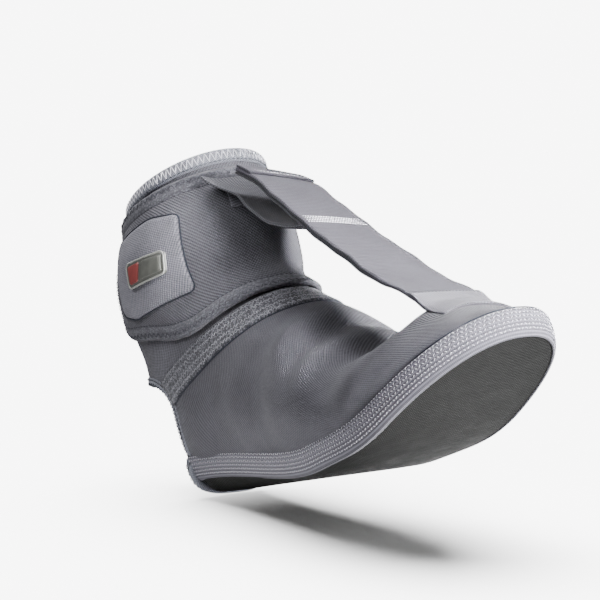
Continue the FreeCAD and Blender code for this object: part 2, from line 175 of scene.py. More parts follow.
def make_object(name, points, faces, uv, materials):
    """A mesh object from layout points; uv holds one millimetre pair per vertex."""
    points = np.asarray(points, float).reshape(-1, 3)
    used = sorted({v for face in faces for v in face})
    new = {old: k for k, old in enumerate(used)}
    mesh = bpy.data.meshes.new(name)
    mesh.from_pydata([tuple(p) for p in place(points[used])], [], [[new[v] for v in f] for f in faces])
    layer = mesh.uv_layers.new(name="uv")
    corner = np.array([used[l.vertex_index] for l in mesh.loops])
    layer.data.foreach_set("uv", np.asarray(uv, float).reshape(-1, 2)[corner].ravel())
    for material in materials:
        mesh.materials.append(material)
    mesh.polygons.foreach_set("use_smooth", [True] * len(mesh.polygons))
    mesh.validate()
    obj = bpy.data.objects.new(name, mesh)
    bpy.context.scene.collection.objects.link(obj)
    return obj


def grid_faces(rows, columns, closed_rows=False, closed_columns=False, keep=None, flip=False):
    """Quads of a grid; keep is a mask of the quads that stay."""
    faces = []
    for i in range(rows if closed_rows else rows - 1):
        for j in range(columns if closed_columns else columns - 1):
            if keep is not None and not keep[i, j]:
                continue
            a, b = i * columns + j, i * columns + (j + 1) % columns
            c, d = ((i + 1) % rows) * columns + (j + 1) % columns, ((i + 1) % rows) * columns + j
            faces.append((a, d, c, b) if flip else (a, b, c, d))
    return faces


def grid_uv(grid):
    """Millimetre coordinates over a grid, from its mean spacing each way."""
    down = np.linalg.norm(np.diff(grid, axis=0), axis=2).mean(1)
    over = np.linalg.norm(np.diff(grid, axis=1), axis=2).mean(0)
    v = np.concatenate([[0], np.cumsum(down)])
    u = np.concatenate([[0], np.cumsum(over)])
    return np.stack(np.meshgrid(u, v), -1)


def faces_outward(grid, inside):
    """True if the grid's quads already turn away from the inside points."""
    a = np.cross(grid[:-1, 1:] - grid[:-1, :-1], grid[1:, :-1] - grid[:-1, :-1])
    return float((a * (grid[:-1, :-1] - inside)).sum()) > 0


def tube_faces(rows, columns, flip):
    """Quads of a tube through rings, with a face at each end."""
    faces = grid_faces(rows, columns, False, True, flip=flip)
    first, last = list(range(columns)), list(range((rows - 1) * columns, rows * columns))
    return faces + ([tuple(first), tuple(last[::-1])] if flip else [tuple(first[::-1]), tuple(last)])


def sheet_object(name, grid, inside, thickness, materials, keep=None, uv=None, closed_columns=False):
    """A sheet with its outer side on the grid and its thickness towards the inside."""
    flip = not faces_outward(grid, inside)
    rows, columns = grid.shape[:2]
    faces = grid_faces(rows, columns, closed_columns=closed_columns, keep=keep, flip=flip)
    obj = make_object(name, grid, faces, grid_uv(grid) if uv is None else uv, materials)
    solid = obj.modifiers.new("thickness", "SOLIDIFY")
    solid.thickness = thickness / 1000
    solid.offset = -1
    if len(materials) > 1:
        solid.material_offset = 1
    return obj


def loft_object(name, rings, materials, closed_path=False):
    """A closed tube through rings of points, capped where the path is open."""
    rings = np.asarray(rings, float)
    rows, columns = rings.shape[:2]
    centre = rings.mean(1, keepdims=True)
    flip = not faces_outward(rings, centre[:-1])
    if closed_path:
        faces = grid_faces(rows, columns, True, True, flip=flip)
    else:
        faces = tube_faces(rows, columns, flip)
    return make_object(name, rings, faces, grid_uv(rings), materials)


def flat_section(width, thickness, count_across=14):
    """Points (across, up) round a flat strip with rounded edges."""
    half, thick = width / 2, thickness / 2
    top = [(half - thick - (width - 2 * thick) * k / count_across, thick) for k in range(count_across + 1)]
    left = [(-half + thick - thick * math.sin(a), thick * math.cos(a)) for a in np.linspace(0.5, 2.6, 4)]
    bottom = [(-x, -z) for x, z in top]
    right = [(-x, -z) for x, z in left]
    return np.array(top + left + bottom + right)


def sweep(path, side, normal, sections):
    """Rings of a section carried along a path."""
    rings = []
    for k, (point, s, n) in enumerate(zip(path, side, normal)):
        section = sections[k] if isinstance(sections, list) else sections
        rings.append(point + section[:, :1] * s + section[:, 1:] * n)
    return np.array(rings)


def thread_object(name, stitches, radius, material):
    """Many short stitches, each a small five-sided thread through its points."""
    points, faces, uv = [], [], []
    for stitch in stitches:
        stitch = np.asarray(stitch, float)
        tangent = unit(np.gradient(stitch, axis=0))
        probe = np.array([0.3, 0.2, 0.93])
        side = unit(np.cross(tangent, probe))
        up = np.cross(side, tangent)
        start = len(points)
        for k, point in enumerate(stitch):
            r = radius * (0.55 if k in (0, len(stitch) - 1) else 1.0)
            for m in range(5):
                a = 2 * math.pi * m / 5
                points.append(point + side[k] * r * math.cos(a) + up[k] * r * math.sin(a))
                uv.append((k, m))
        n = len(stitch)
        for k in range(n - 1):
            for m in range(5):
                a, b = start + k * 5 + m, start + k * 5 + (m + 1) % 5
                faces.append((a, b, b + 5, a + 5))
        faces.append(tuple(start + m for m in reversed(range(5))))
        faces.append(tuple(start + (n - 1) * 5 + m for m in range(5)))
    return make_object(name, points, faces, uv, [material])


def row_of_stitches(path, normal, side, pitch, length, lift, zigzag=0.0):
    """Stitches along a path: straight dashes, or a zigzag that swings to both sides."""
    at = arc_lengths(path)
    count = int(at[-1] / pitch)
    stitches = []

    def read(values, s):
        return np.array([np.interp(s, at, values[:, k]) for k in range(3)])

    for k in range(count):
        s0 = (k + 0.5) * pitch - length / 2 + RANDOM.uniform(-STITCH_JITTER, STITCH_JITTER) * pitch
        swing = zigzag * (1 if k % 2 else -1)
        points = []
        for share, rise in ((0.0, 0.15), (0.3, 0.9), (0.7, 0.9), (1.0, 0.15)):
            s = s0 + share * length
            across = swing * (1 - 2 * share)
            points.append(read(path, s) + unit(read(side, s)) * across + unit(read(normal, s)) * lift * rise)
        stitches.append(points)
    return stitches


# ------------------------------------------------------------------ sole geometry

def sole_point(s, lift=0.0):
    """Side-view (x, z) at length s along the ground face, lifted along its normal; arrays work too."""
    s, lift = np.asarray(s, float), np.asarray(lift, float)
    angle = np.clip((s - FLAT_LENGTH) / BEND_RADIUS, 0, TOE_PITCH)
    rest = np.maximum(s - FLAT_LENGTH - BEND_RADIUS * TOE_PITCH, 0)
    x = np.minimum(s, FLAT_LENGTH) + BEND_RADIUS * np.sin(angle) + rest * np.cos(angle) - lift * np.sin(angle)
    z = BEND_RADIUS * (1 - np.cos(angle)) + rest * np.sin(angle) + lift * np.cos(angle)
    return x, z


def sole_space(s, y, lift):
    """Layout points over the sole, from length, side and height."""
    x, z = sole_point(s, lift)
    return np.stack([x, np.broadcast_to(y, np.shape(x)), z], -1)


def half_width(s):
    """Half the ground face's width at length s."""
    s = np.asarray(s, float)
    share = np.clip(s / BALL, 0, 1)
    rear = REAR_HALF_WIDTH + (BALL_HALF_WIDTH - REAR_HALF_WIDTH) * share * share * (3 - 2 * share)
    toe = np.clip((s - BALL) / (SOLE_LENGTH - BALL), 0, 1)
    return np.where(s <= BALL, rear, BALL_HALF_WIDTH * (1 - toe ** TOE_POWER) ** (1 / TOE_POWER))


def edge_lift(s):
    """How far the sole's edge stands off the ground face at length s: the sheet is dished under the heel."""
    return HEEL_LIFT * (1 - smooth_step(s, 10, HEEL_LIFT_LENGTH)) + ARCH_LIFT * hump(s, 137.0, 26.0)


def sole_outline(count):
    """(s, y) round the sole from the outer rear corner to the inner one, with outward normals."""
    half = []
    for s in np.linspace(0, BALL, 60):
        half.append((s, -float(half_width(s))))
    for turn in np.linspace(0, math.pi / 2, 70)[1:]:
        reach = math.sin(turn) ** (2 / TOE_POWER)
        half.append((BALL + (SOLE_LENGTH - BALL) * reach,
                     -BALL_HALF_WIDTH * math.cos(turn) ** (2 / TOE_POWER)))
    half = np.array(half)
    line = np.concatenate([half, (half * [1, -1])[-2::-1]])
    at = arc_lengths(line)
    wanted = np.linspace(0, at[-1], count)
    line = np.stack([np.interp(wanted, at, line[:, k]) for k in (0, 1)], 1)
    tangent = unit(np.gradient(line, axis=0))
    for _ in range(6):
        tangent[1:-1] = unit(tangent[1:-1] * 2 + tangent[:-2] + tangent[2:])
    return line, np.stack([tangent[:, 1], -tangent[:, 0]], 1)


# ------------------------------------------------------------------ upper geometry

def toe_section(s, height):
    """Bottom point, top point and half width of the section across the foot at length s."""
    middle = height / 2
    share = math.sqrt(max(1 - (abs(BAND_HEIGHT - middle) / middle) ** 2, 0.08))
    bottom, top = sole_point(s), sole_point(s, height)
    return (float(bottom[0]), float(bottom[1])), (float(top[0]), float(top[1])), (
        float(half_width(s)) + BAND_OUTSET - 0.6) / share


SECTIONS = [toe_section(s, h) for s, h in ((249.0, 15.0), (242.0, 19.0), (232.0, 25.0), (215.0, 32.5),
                                          (190.0, 40.0), (165.0, 49.0), (140.0, 59.5), (113.0, 70.5))]
SECTIONS += [
    ((85.0, 0.0), (97.0, 79.5), 40.5),
    ((55.0, 0.0), (86.0, 86.5), 39.0),
    ((25.0, 0.0), (76.5, 92.0), 37.0),
    ((-5.0, 3.0), (70.0, 96.5), 35.5),
    ((-28.0, 25.0), (65.0, 100.0), 34.5),
    ((-38.5, 46.0), (61.0, 103.5), 33.8),
    ((-42.0, 64.0), (58.0, 108.0), 34.0),
    ((-46.3, 82.0), (55.3, 116.0), 37.2),
    ((-47.0, 104.0), (50.5, 132.0), 38.0),
    ((-43.5, 126.0), (43.5, 151.0), 34.5),
    ((-41.8, 143.0), (38.8, 166.0), 32.3),
    ((-41.4, 147.0), (37.6, 170.5), 32.0),
]
LOW_POWER = [2.0] * 8 + [2.15, 1.78, 1.62, 1.7, 1.9, 2.1, 2.2, 2.2, 2.1, 2.0, 2.0, 2.0]
HIGH_POWER = [2.3] * 5 + [2.2, 2.1] + [2.0] * 13
ROWS, COLUMNS = 300, 221


def ridge(points, start, end, height, width, top_y):
    """A soft fold down both sides of the foot, from start to end in side view, strongest at its start."""
    start, end = np.array(start, float), np.array(end, float)
    along = unit(end - start)
    across = np.array([-along[1], along[0]])
    rel = points[..., [0, 2]] - start
    reach = rel @ along / np.linalg.norm(end - start)
    off = rel @ across + 2.0 * np.sin(points[..., 1] / 11.0)
    fade = smooth_step(reach, -0.5, 0.05) * (1 - smooth_step(reach, 0.55, 1.15))
    near_top = 0.55 + 0.45 * np.exp(-(points[..., 1] / top_y) ** 2)
    return height * np.exp(-(off / width) ** 2) * fade * near_top


def folds(p):
    """How far the knit stands proud of its plain form at layout points."""
    x, y, z = p[..., 0], p[..., 1], p[..., 2]
    out = ridge(p, (99, 83), (112, 50), 2.6, 8.0, 34)
    out -= ridge(p, (114.5, 72), (131, 42), 2.1, 5.0, 40)
    out += ridge(p, (124, 66), (141, 36), 3.0, 6.0, 40)
    out -= ridge(p, (144, 58), (156, 26), 3.7, 9.5, 60)
    out += ridge(p, (194, 60), (158, 24), 1.8, 7.0, 60)
    foot = 1 - smooth_step(z, 60, 100)
    out += foot * 0.5 * np.sin(x / 9.0 + 1.3 * np.sin(y / 13.0)) * np.sin(z / 12.0 + y / 21.0)
    cuff = smooth_step(z, 70, 105)
    out += cuff * 0.45 * np.sin(z / 8.5 + 1.2 * np.sin(np.arctan2(y, x) * 2.0)) * smooth_step(-x, -20, 25)
    tent = hump(x, 197.0, 17.0) * np.exp(-(np.abs(y) / 24.0) ** 4) * smooth_step(z, 45, 56)
    tent *= np.where(x > 197, 1, np.exp(-((197 - x) / 12.0) ** 2))
    return out + 5.5 * tent


def upper_grid():
    """The whole boot from toe to rim as a grid of rings, plain form and folds together."""
    knots = np.arange(len(SECTIONS), dtype=float)
    flat = np.array([[*rear, *front, half] for rear, front, half in SECTIONS])
    spacing = np.linalg.norm(np.diff(flat[:, 2:4], axis=0),
                             axis=1) + np.linalg.norm(np.diff(flat[:, :2], axis=0), axis=1)
    travel = np.concatenate([[0], np.cumsum(np.sqrt(spacing))])
    wanted = np.interp(np.linspace(0, travel[-1], ROWS), travel, knots)
    rows = curve_through(travel, flat, np.interp(wanted, knots, travel))
    turn = np.linspace(-math.pi, math.pi, COLUMNS)
    c, s = np.cos(turn), np.sin(turn)
    low = np.interp(wanted, knots, LOW_POWER)
    high = np.interp(wanted, knots, HIGH_POWER)
    power = np.where(c[None, :] >= 0, 2 / high[:, None], 2 / low[:, None])
    u = np.sign(c) * np.abs(c) ** power
    v = np.sign(s) * np.abs(s) ** power
    rear, front = rows[:, :2], rows[:, 2:4]
    centre, axis = (rear + front) / 2, (front - rear) / 2
    points = np.zeros((ROWS, COLUMNS, 3))
    points[..., 0] = centre[:, :1] + axis[:, :1] * u
    points[..., 2] = centre[:, 1:] + axis[:, 1:] * u
    points[..., 1] = rows[:, 4:5] * v
    normal = grid_normals(points)
    return points + normal * folds(points)[..., None]


def grid_normals(points):
    """Outward normals of a ring grid."""
    down = np.gradient(points, axis=0)
    over = np.gradient(points, axis=1)
    normal = unit(np.cross(down, over))
    outward = points - points.mean(1, keepdims=True)
    if (normal * outward).sum() < 0:
        normal = -normal
    return normal


UPPER = upper_grid()
SKIN = BVHTree.FromPolygons([tuple(p) for p in UPPER.reshape(-1, 3)], grid_faces(ROWS, COLUMNS))


def cast(origin, direction, lift=0.0):
    """Point where a ray from inside leaves the knit, moved lift further out, and the knit's normal."""
    direction = Vector(direction).normalized()
    hit, normal, _, _ = SKIN.ray_cast(Vector(origin), direction)
    if hit is None:  # the ray ran exactly along an edge of the grid
        hit, normal, _, _ = SKIN.ray_cast(Vector(origin) + Vector((0.01, 0.02, 0.01)), direction)
    if normal.dot(direction) < 0:
        normal = -normal
    return np.array(hit + direction * (lift / max(normal.dot(direction), 0.45))), np.array(normal)


def cast_side(x, z, lift=0.0):
    """Point on the outer side of the boot at side-view place (x, z), moved lift outwards."""
    start = Vector((x, -200.0, z))
    hit, normal, _, _ = SKIN.ray_cast(start, Vector((0, 1, 0)))
    if hit is None:
        return None
    if normal.y > 0:
        normal = -normal
    return np.array(hit) + np.array([0, -lift / max(abs(normal.y), 0.5), 0])


def seam_offset(points):
    """Distance above the foot-to-cuff seam."""
    rel = np.asarray(points) - ANKLE
    return -math.sin(SEAM_PITCH) * rel[..., 0] + math.cos(SEAM_PITCH) * rel[..., 2] + SEAM_DROP


def opening_line():
    """Side-view edge of the heel opening, from behind the ankle to the sole."""
    return along_path(OPENING_EDGE, 60)


def opening_depth(points):
    """How far points lie inside the heel opening in side view; negative on the knit."""
    points = np.asarray(points, float)
    flat = points.reshape(-1, 3)[:, [0, 2]]
    line = np.concatenate([[[-120.0, OPENING_EDGE[0][1]]], opening_line(), [[OPENING_EDGE[-1][0], -60.0]]])
    nearest = np.full(len(flat), 1e9)
    for a, b in zip(line[:-1], line[1:]):
        along = b - a
        t = np.clip(((flat - a) @ along) / (along @ along), 0, 1)
        nearest = np.minimum(nearest, np.linalg.norm(flat - a - t[:, None] * along, axis=1))
    corners = np.concatenate([line, [[-120.0, -60.0]]])
    inside = np.zeros(len(flat), bool)
    for a, b in zip(corners, np.roll(corners, -1, 0)):
        crosses = (a[1] > flat[:, 1]) != (b[1] > flat[:, 1])
        if a[1] != b[1]:
            x = a[0] + (flat[:, 1] - a[1]) / (b[1] - a[1]) * (b[0] - a[0])
            inside ^= crosses & (flat[:, 0] < x)
    return np.where(inside, nearest, -nearest).reshape(points.shape[:-1])


def leg_axes():
    """Up the leg, forwards and to the inner side, as the cuff's own axes."""
    up = np.array([-math.sin(LEG_LEAN), 0, math.cos(LEG_LEAN)])
    forward = np.array([math.cos(LEG_LEAN), 0, math.sin(LEG_LEAN)])
    return up, forward, np.array([0, 1.0, 0])


def cuff_point(angle, height, lift=0.0):
    """Point on the cuff at an angle round from the front and a height up the leg, with its normal."""
    up, forward, inner = leg_axes()
    origin = LEG_FOOT + up * height
    return cast(origin, forward * math.cos(angle) + inner * math.sin(angle), lift)


def cuff_height(angle, line):
    """Height up the leg where the cuff meets a side-view line z = line(x)."""
    height = 0.0
    for _ in range(6):
        point, _ = cuff_point(angle, height)
        height += (line(point[0]) - point[2]) / math.cos(LEG_LEAN) * 0.85
    return height


# ------------------------------------------------------------------ materials

def node_tree(name):
    """A new material with its tree, output shader and a millimetre UV."""
    material = bpy.data.materials.new(name)
    material.use_nodes = True
    tree = material.node_tree
    shader = tree.nodes["Principled BSDF"]
    uv = tree.nodes.new("ShaderNodeUVMap")
    uv.uv_map = "uv"
    return material, tree, shader, uv.outputs[0]


def link(tree, a, b):
    """Joins two sockets."""
    tree.links.new(a, b)


def math_node(tree, operation, a, b=None):
    """A math node over sockets or numbers."""
    node = tree.nodes.new("ShaderNodeMath")
    node.operation = operation
    for socket, value in zip(node.inputs, (a, b)):
        if value is None:
            continue
        if hasattr(value, "is_linked"):
            link(tree, value, socket)
        else:
            socket.default_value = value
    return node.outputs[0]


def weighted(tree, *parts):
    """The sum of (socket, weight) pairs."""
    total = None
    for socket, weight in parts:
        part = math_node(tree, "MULTIPLY", socket, weight)
        total = part if total is None else math_node(tree, "ADD", total, part)
    return total


def mapped(tree, vector, angle=0.0, scale=(1, 1, 1)):
    """Coordinates turned and scaled."""
    node = tree.nodes.new("ShaderNodeMapping")
    node.inputs["Rotation"].default_value = (0, 0, math.radians(angle))
    node.inputs["Scale"].default_value = scale
    link(tree, vector, node.inputs[0])
    return node.outputs[0]


def stripes(tree, vector, angle, pitch, wobble=0.0, wobble_scale=0.2):
    """Smooth stripes, 0 to 1, a pitch apart in millimetres."""
    node = tree.nodes.new("ShaderNodeTexWave")
    node.wave_type = "BANDS"
    node.bands_direction = "X"
    node.inputs["Scale"].default_value = math.pi / 10 / pitch
    node.inputs["Distortion"].default_value = wobble
    node.inputs["Detail Scale"].default_value = wobble_scale
    link(tree, mapped(tree, vector, angle), node.inputs["Vector"])
    return node.outputs["Fac"]


def noise(tree, vector, scale, detail=3.0, rough=0.6):
    """Noise, about 0.2 to 0.8, with that many cells per millimetre."""
    node = tree.nodes.new("ShaderNodeTexNoise")
    node.inputs["Scale"].default_value = scale
    node.inputs["Detail"].default_value = detail
    node.inputs["Roughness"].default_value = rough
    link(tree, vector, node.inputs["Vector"])
    return node.outputs["Fac"]


def ramp(tree, value, low, high, dark, light):
    """Colour from dark at low to light at high."""
    node = tree.nodes.new("ShaderNodeValToRGB")
    first, last = node.color_ramp.elements
    first.position, first.color = low, (*dark, 1)
    last.position, last.color = high, (*light, 1)
    link(tree, value, node.inputs[0])
    return node.outputs[0]


def paint(tree, shader, value, low, high, dark, light):
    """Base colour from dark at low to light at high."""
    link(tree, ramp(tree, value, low, high, dark, light), shader.inputs["Base Color"])


def bump(tree, shader, height, distance):
    """Bump in millimetres from a height, 0 to 1."""
    node = tree.nodes.new("ShaderNodeBump")
    node.inputs["Strength"].default_value = 1.0
    node.inputs["Distance"].default_value = distance / 1000
    link(tree, height, node.inputs["Height"])
    link(tree, node.outputs[0], shader.inputs["Normal"])


def finish_cloth(shader, roughness, sheen):
    """Matt cloth with a soft sheen."""
    shader.inputs["Roughness"].default_value = roughness
    shader.inputs["Specular IOR Level"].default_value = 0.05
    shader.inputs["Sheen Weight"].default_value = sheen
    shader.inputs["Sheen Roughness"].default_value = 0.45


def scaled(colour, k):
    """A colour made k times as bright."""
    return tuple(min(c * k, 1.0) for c in colour)


def knit_material(name, colour, rib_angle=42.0, pitch=1.35, depth=0.34, fleck=0.45, sheen=0.04):
    """Fine twill knit: slanted ribs broken by yarn noise, with faint larger patches of wear."""
    material, tree, shader, uv = node_tree(name)
    rib = stripes(tree, uv, rib_angle, pitch, 0.8, 0.25)
    cross = stripes(tree, uv, rib_angle + 90, pitch * 0.8, 0.6, 0.3)
    yarn = noise(tree, uv, 0.8, 4.0, 0.75)
    patch = noise(tree, uv, 0.05, 3.0, 0.55)
    height = weighted(tree, (rib, 0.46), (cross, 0.22), (yarn, fleck))
    tone = weighted(tree, (height, 0.75), (patch, 0.5))
    paint(tree, shader, tone, 0.3, 1.0, scaled(colour, 0.38), scaled(colour, 1.75))
    bump(tree, shader, height, depth)
    finish_cloth(shader, 0.86, sheen)
    return material


def speckle_material(name, colour, light, cell):
    """Cover-stitched or looped surface: light yarn flecks over a darker ground."""
    material, tree, shader, uv = node_tree(name)
    cells = tree.nodes.new("ShaderNodeTexVoronoi")
    cells.inputs["Scale"].default_value = 1 / cell
    cells.inputs["Randomness"].default_value = 0.85
    link(tree, mapped(tree, uv, 18.0, (1.0, 0.62, 1.0)), cells.inputs["Vector"])
    yarn = noise(tree, uv, 1.7, 3.0, 0.7)
    dot = math_node(tree, "SUBTRACT", 1.0, cells.outputs["Distance"])
    tone = weighted(tree, (dot, 0.55), (yarn, 0.7))
    paint(tree, shader, tone, 0.56, 0.9, colour, light)
    bump(tree, shader, tone, 0.25)
    finish_cloth(shader, 0.88, 0.05)
    return material


def ribbed_material(name, colour, pitch, angle):
    """Ribbed elastic: cords along the length, crossed by fine yarn."""
    material, tree, shader, uv = node_tree(name)
    cord = stripes(tree, uv, angle, pitch, 0.15, 0.2)
    pick = stripes(tree, uv, angle + 90, 0.8, 0.9, 0.3)
    yarn = noise(tree, uv, 0.9, 4.0, 0.75)
    height = weighted(tree, (cord, 0.5), (pick, 0.25), (yarn, 0.35))
    paint(tree, shader, height, 0.25, 0.95, scaled(colour, 0.5), scaled(colour, 1.6))
    bump(tree, shader, height, 0.22)
    finish_cloth(shader, 0.84, 0.06)
    return material


def grip_material(name, colour):
    """Gripping sheet: raised dots in crossed diagonal rows, scuffed where it meets the ground."""
    material, tree, shader, uv = node_tree(name)
    a = stripes(tree, uv, 25, 1.4, 0.0)
    b = stripes(tree, uv, -65, 1.4, 0.0)
    dots = math_node(tree, "MULTIPLY", a, b)
    scuff = noise(tree, uv, 0.06, 5.0, 0.65)
    fine = noise(tree, uv, 1.2, 3.0, 0.6)
    tone = weighted(tree, (dots, 0.6), (scuff, 0.45), (fine, 0.12))
    paint(tree, shader, tone, 0.15, 1.0, scaled(colour, 0.55), scaled(colour, 1.9))
    bump(tree, shader, dots, 0.3)
    link(tree, ramp(tree, scuff, 0.3, 0.8, (0.62,) * 3, (0.85,) * 3), shader.inputs["Roughness"])
    shader.inputs["Specular IOR Level"].default_value = 0.04
    return material


def pile_material(name, colour, depth=0.5, sheen=0.12):
    """Brushed or looped pile."""
    material, tree, shader, uv = node_tree(name)
    fine = noise(tree, uv, 2.2, 4.0, 0.75)
    wide = noise(tree, uv, 0.12, 3.0, 0.55)
    tone = weighted(tree, (fine, 0.7), (wide, 0.4))
    paint(tree, shader, tone, 0.35, 0.8, scaled(colour, 0.6), scaled(colour, 1.45))
    bump(tree, shader, fine, depth)
    finish_cloth(shader, 0.93, sheen)
    return material


def hook_material(name, colour):
    """Hook tape: tiny stiff hooks in rows on a dark ground."""
    material, tree, shader, uv = node_tree(name)
    rows = math_node(tree, "MULTIPLY", stripes(tree, uv, 0, 1.1), stripes(tree, uv, 90, 1.3))
    fine = noise(tree, uv, 1.5, 2.0, 0.6)
    tone = weighted(tree, (rows, 0.7), (fine, 0.3))
    paint(tree, shader, tone, 0.15, 0.9, scaled(colour, 0.6), scaled(colour, 2.2))
    bump(tree, shader, tone, 0.4)
    finish_cloth(shader, 0.7, 0.03)
    return material


def thread_material(name, colour):
    """Twisted sewing thread."""
    material, tree, shader, uv = node_tree(name)
    twist = stripes(tree, uv, 35, 0.9)
    paint(tree, shader, twist, 0.2, 0.9, scaled(colour, 0.78), scaled(colour, 1.12))
    finish_cloth(shader, 0.6, 0.04)
    return material


def rubber_material(name, colour, gloss=0.42):
    """Moulded rubber with a fine grain and slightly lighter worn spots."""
    material, tree, shader, uv = node_tree(name)
    fine = noise(tree, uv, 2.5, 3.0, 0.6)
    wide = noise(tree, uv, 0.25, 4.0, 0.6)
    paint(tree, shader, wide, 0.3, 0.75, scaled(colour, 0.85), scaled(colour, 1.25))
    link(tree, ramp(tree, wide, 0.3, 0.7, (gloss,) * 3, (gloss + 0.18,) * 3), shader.inputs["Roughness"])
    bump(tree, shader, fine, 0.03)
    return material


KNIT_GREY = knit_material("knit_grey", (0.0225, 0.0221, 0.0262), depth=0.36, fleck=0.75)
CUFF_GREY = knit_material("cuff_grey", (0.034, 0.0335, 0.0392), depth=0.5, fleck=0.7)
PATCH_GREY = knit_material("patch_grey", (0.064, 0.063, 0.0735), rib_angle=20.0, depth=0.4, fleck=0.7)
# Paler knit for the toe patch: partly its own paler lilac tone and partly painted light, made lighter to
# stand for the light that falls on the toe.
KNIT_PALE_WITH_PAINTED_LIGHT = knit_material("knit_pale_with_painted_light", (0.036, 0.035, 0.041), rib_angle=60.0, pitch=0.9, depth=0.3,
                           fleck=0.8)
STRAP_CLOTH = knit_material("strap_cloth", (0.0215, 0.0206, 0.0252), rib_angle=88.0, pitch=1.5,
                            depth=0.4, fleck=0.8, sheen=0.015)
LINING = pile_material("lining", (0.040, 0.041, 0.047))
BINDING = ribbed_material("bound_edge", (0.086, 0.089, 0.105), pitch=0.9, angle=30.0)
BORDER_CLOTH = speckle_material("border_cloth", (0.036, 0.036, 0.042), (0.078, 0.077, 0.089), cell=0.9)
TAPE_CLOTH = speckle_material("tape_cloth", (0.020, 0.020, 0.0235), (0.120, 0.120, 0.136), cell=0.8)
ELASTIC = ribbed_material("edge_elastic", (0.044, 0.0427, 0.052), pitch=1.6, angle=0.0)
GRIP = grip_material("grip_sheet", (0.0042, 0.0043, 0.0042))
HOOK = hook_material("hook_tape", (0.042, 0.042, 0.048))
STRAP_BACK = pile_material("strap_back", (0.020, 0.020, 0.024), 0.3, 0.1)
THREAD_LIGHT = thread_material("thread_light", (0.36, 0.355, 0.39))
THREAD_MID = thread_material("thread_mid", (0.19, 0.19, 0.21))
THREAD_DARK = thread_material("thread_dark", (0.012, 0.013, 0.018))
BADGE_DARK = rubber_material("badge_dark", (0.030, 0.031, 0.027))
BADGE_RED = rubber_material("badge_red", (0.085, 0.010, 0.009), 0.38)
# The badge rim's light colour is a painted highlight: the rim itself is dark and catches light only on its
# top and right edges, but here it is light all round.
BADGE_RIM_PAINTED_HIGHLIGHT = rubber_material("badge_rim_painted_highlight", (0.12, 0.122, 0.115), 0.3)


# ------------------------------------------------------------------ pieces: sole and band


def forefoot_blend(obj):
    """Bakes a piece's placement into its mesh; the span across the ball of the foot is worked out but not
    used to bend it.
    """
    along = np.array([math.cos(FOREFOOT_TILT), 0, math.sin(FOREFOOT_TILT)]) * FOREFOOT_REACH
    start, end = place([FOREFOOT - along, FOREFOOT + along])
    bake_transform(obj)


def cuff_blend(obj):
    """Bakes a piece's placement into its mesh; the span from the middle of the tape up to the cuff is worked
    out but not used to bend it.
    """
    normal = np.array([-math.sin(SEAM_PITCH), 0, math.cos(SEAM_PITCH)])
    start, end = place([ANKLE - normal * TAPE_WIDTH / 2, ANKLE + normal * CUFF_REACH])
    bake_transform(obj)


def sole_sheet(name, low, high, outset, materials, dish_power=2.4):
    """One closed layer of the sole between two heights, dished at the heel."""
    rows, columns = 150, 45
    share = np.linspace(0, 1, rows)
    s = SOLE_LENGTH * (share + 0.06 * np.sin(2 * math.pi * share) / (2 * math.pi) * -1)
    s = np.concatenate([s[:-1], [SOLE_LENGTH - 0.02]])
    half = half_width(s)
    corner = np.clip(HEEL_CORNER - s, 0, HEEL_CORNER)
    half = half - (HEEL_CORNER - np.sqrt(HEEL_CORNER ** 2 - corner ** 2))
    half = np.maximum(half + outset, 0.4)
    across = np.sin(np.linspace(-math.pi / 2, math.pi / 2, columns))
    y = half[:, None] * across
    dish = edge_lift(s)[:, None] * np.abs(across) ** dish_power
    length = np.broadcast_to(s[:, None], y.shape)
    bottom = sole_space(length, y, low + dish)
    top = sole_space(length, y, high + dish)
    rings = np.concatenate([top, bottom[:, ::-1]], 1)
    uv = np.stack([np.concatenate([y, y[:, ::-1]], 1), np.concatenate([length, length], 1)], -1)
    flip = not faces_outward(rings, rings.mean(1, keepdims=True)[:-1])
    faces = tube_faces(rows, 2 * columns, flip)
    obj = make_object(name, rings, faces, uv, materials)
    bevel = obj.modifiers.new("round", "BEVEL")
    bevel.width = 0.0006
    bevel.segments = 2
    bevel.angle_limit = math.radians(50)
    forefoot_blend(obj)
    return obj


def band_profile():
    """Closed section of the edge band as (outset, height), corded on its outer side."""
    outer = []
    for k in range(46):
        t = k / 45
        height = -0.4 + (BAND_HEIGHT + 0.1) * t
        bulge = 0.9 + 2.8 * t ** 0.8 + 0.5 * math.sin(math.pi * t)
        cord = 0.07 * math.sin(2 * math.pi * height / 1.25)
        edge = min(t, 1 - t) * 9
        outer.append((bulge - 0.9 * max(0, 1 - edge) ** 2 + cord * min(edge, 1), height))
    top = [(BAND_OUTSET - 1.2, BAND_HEIGHT - 0.1), (BAND_OUTSET - 2.0, BAND_HEIGHT - 0.8)]
    inner = [(0.9, BAND_HEIGHT * 0.55), (-0.2, 1.5), (-0.8, -0.2)]
    return np.array(outer + top + inner)


def band_frame(count):
    """Outline points with the band's path, outward and upward vectors in layout space."""
    line, normal = sole_outline(count)
    lift = edge_lift(line[:, 0])
    keep = line[:, 0] > 0.8
    return line[keep], normal[keep], lift[keep]


def band_point(line, normal, lift, outset, height):
    """Point on the band at an outset and a height over the sole's edge."""
    return sole_space(line[:, 0] + outset * normal[:, 0], line[:, 1] + outset * normal[:, 1], lift + height)


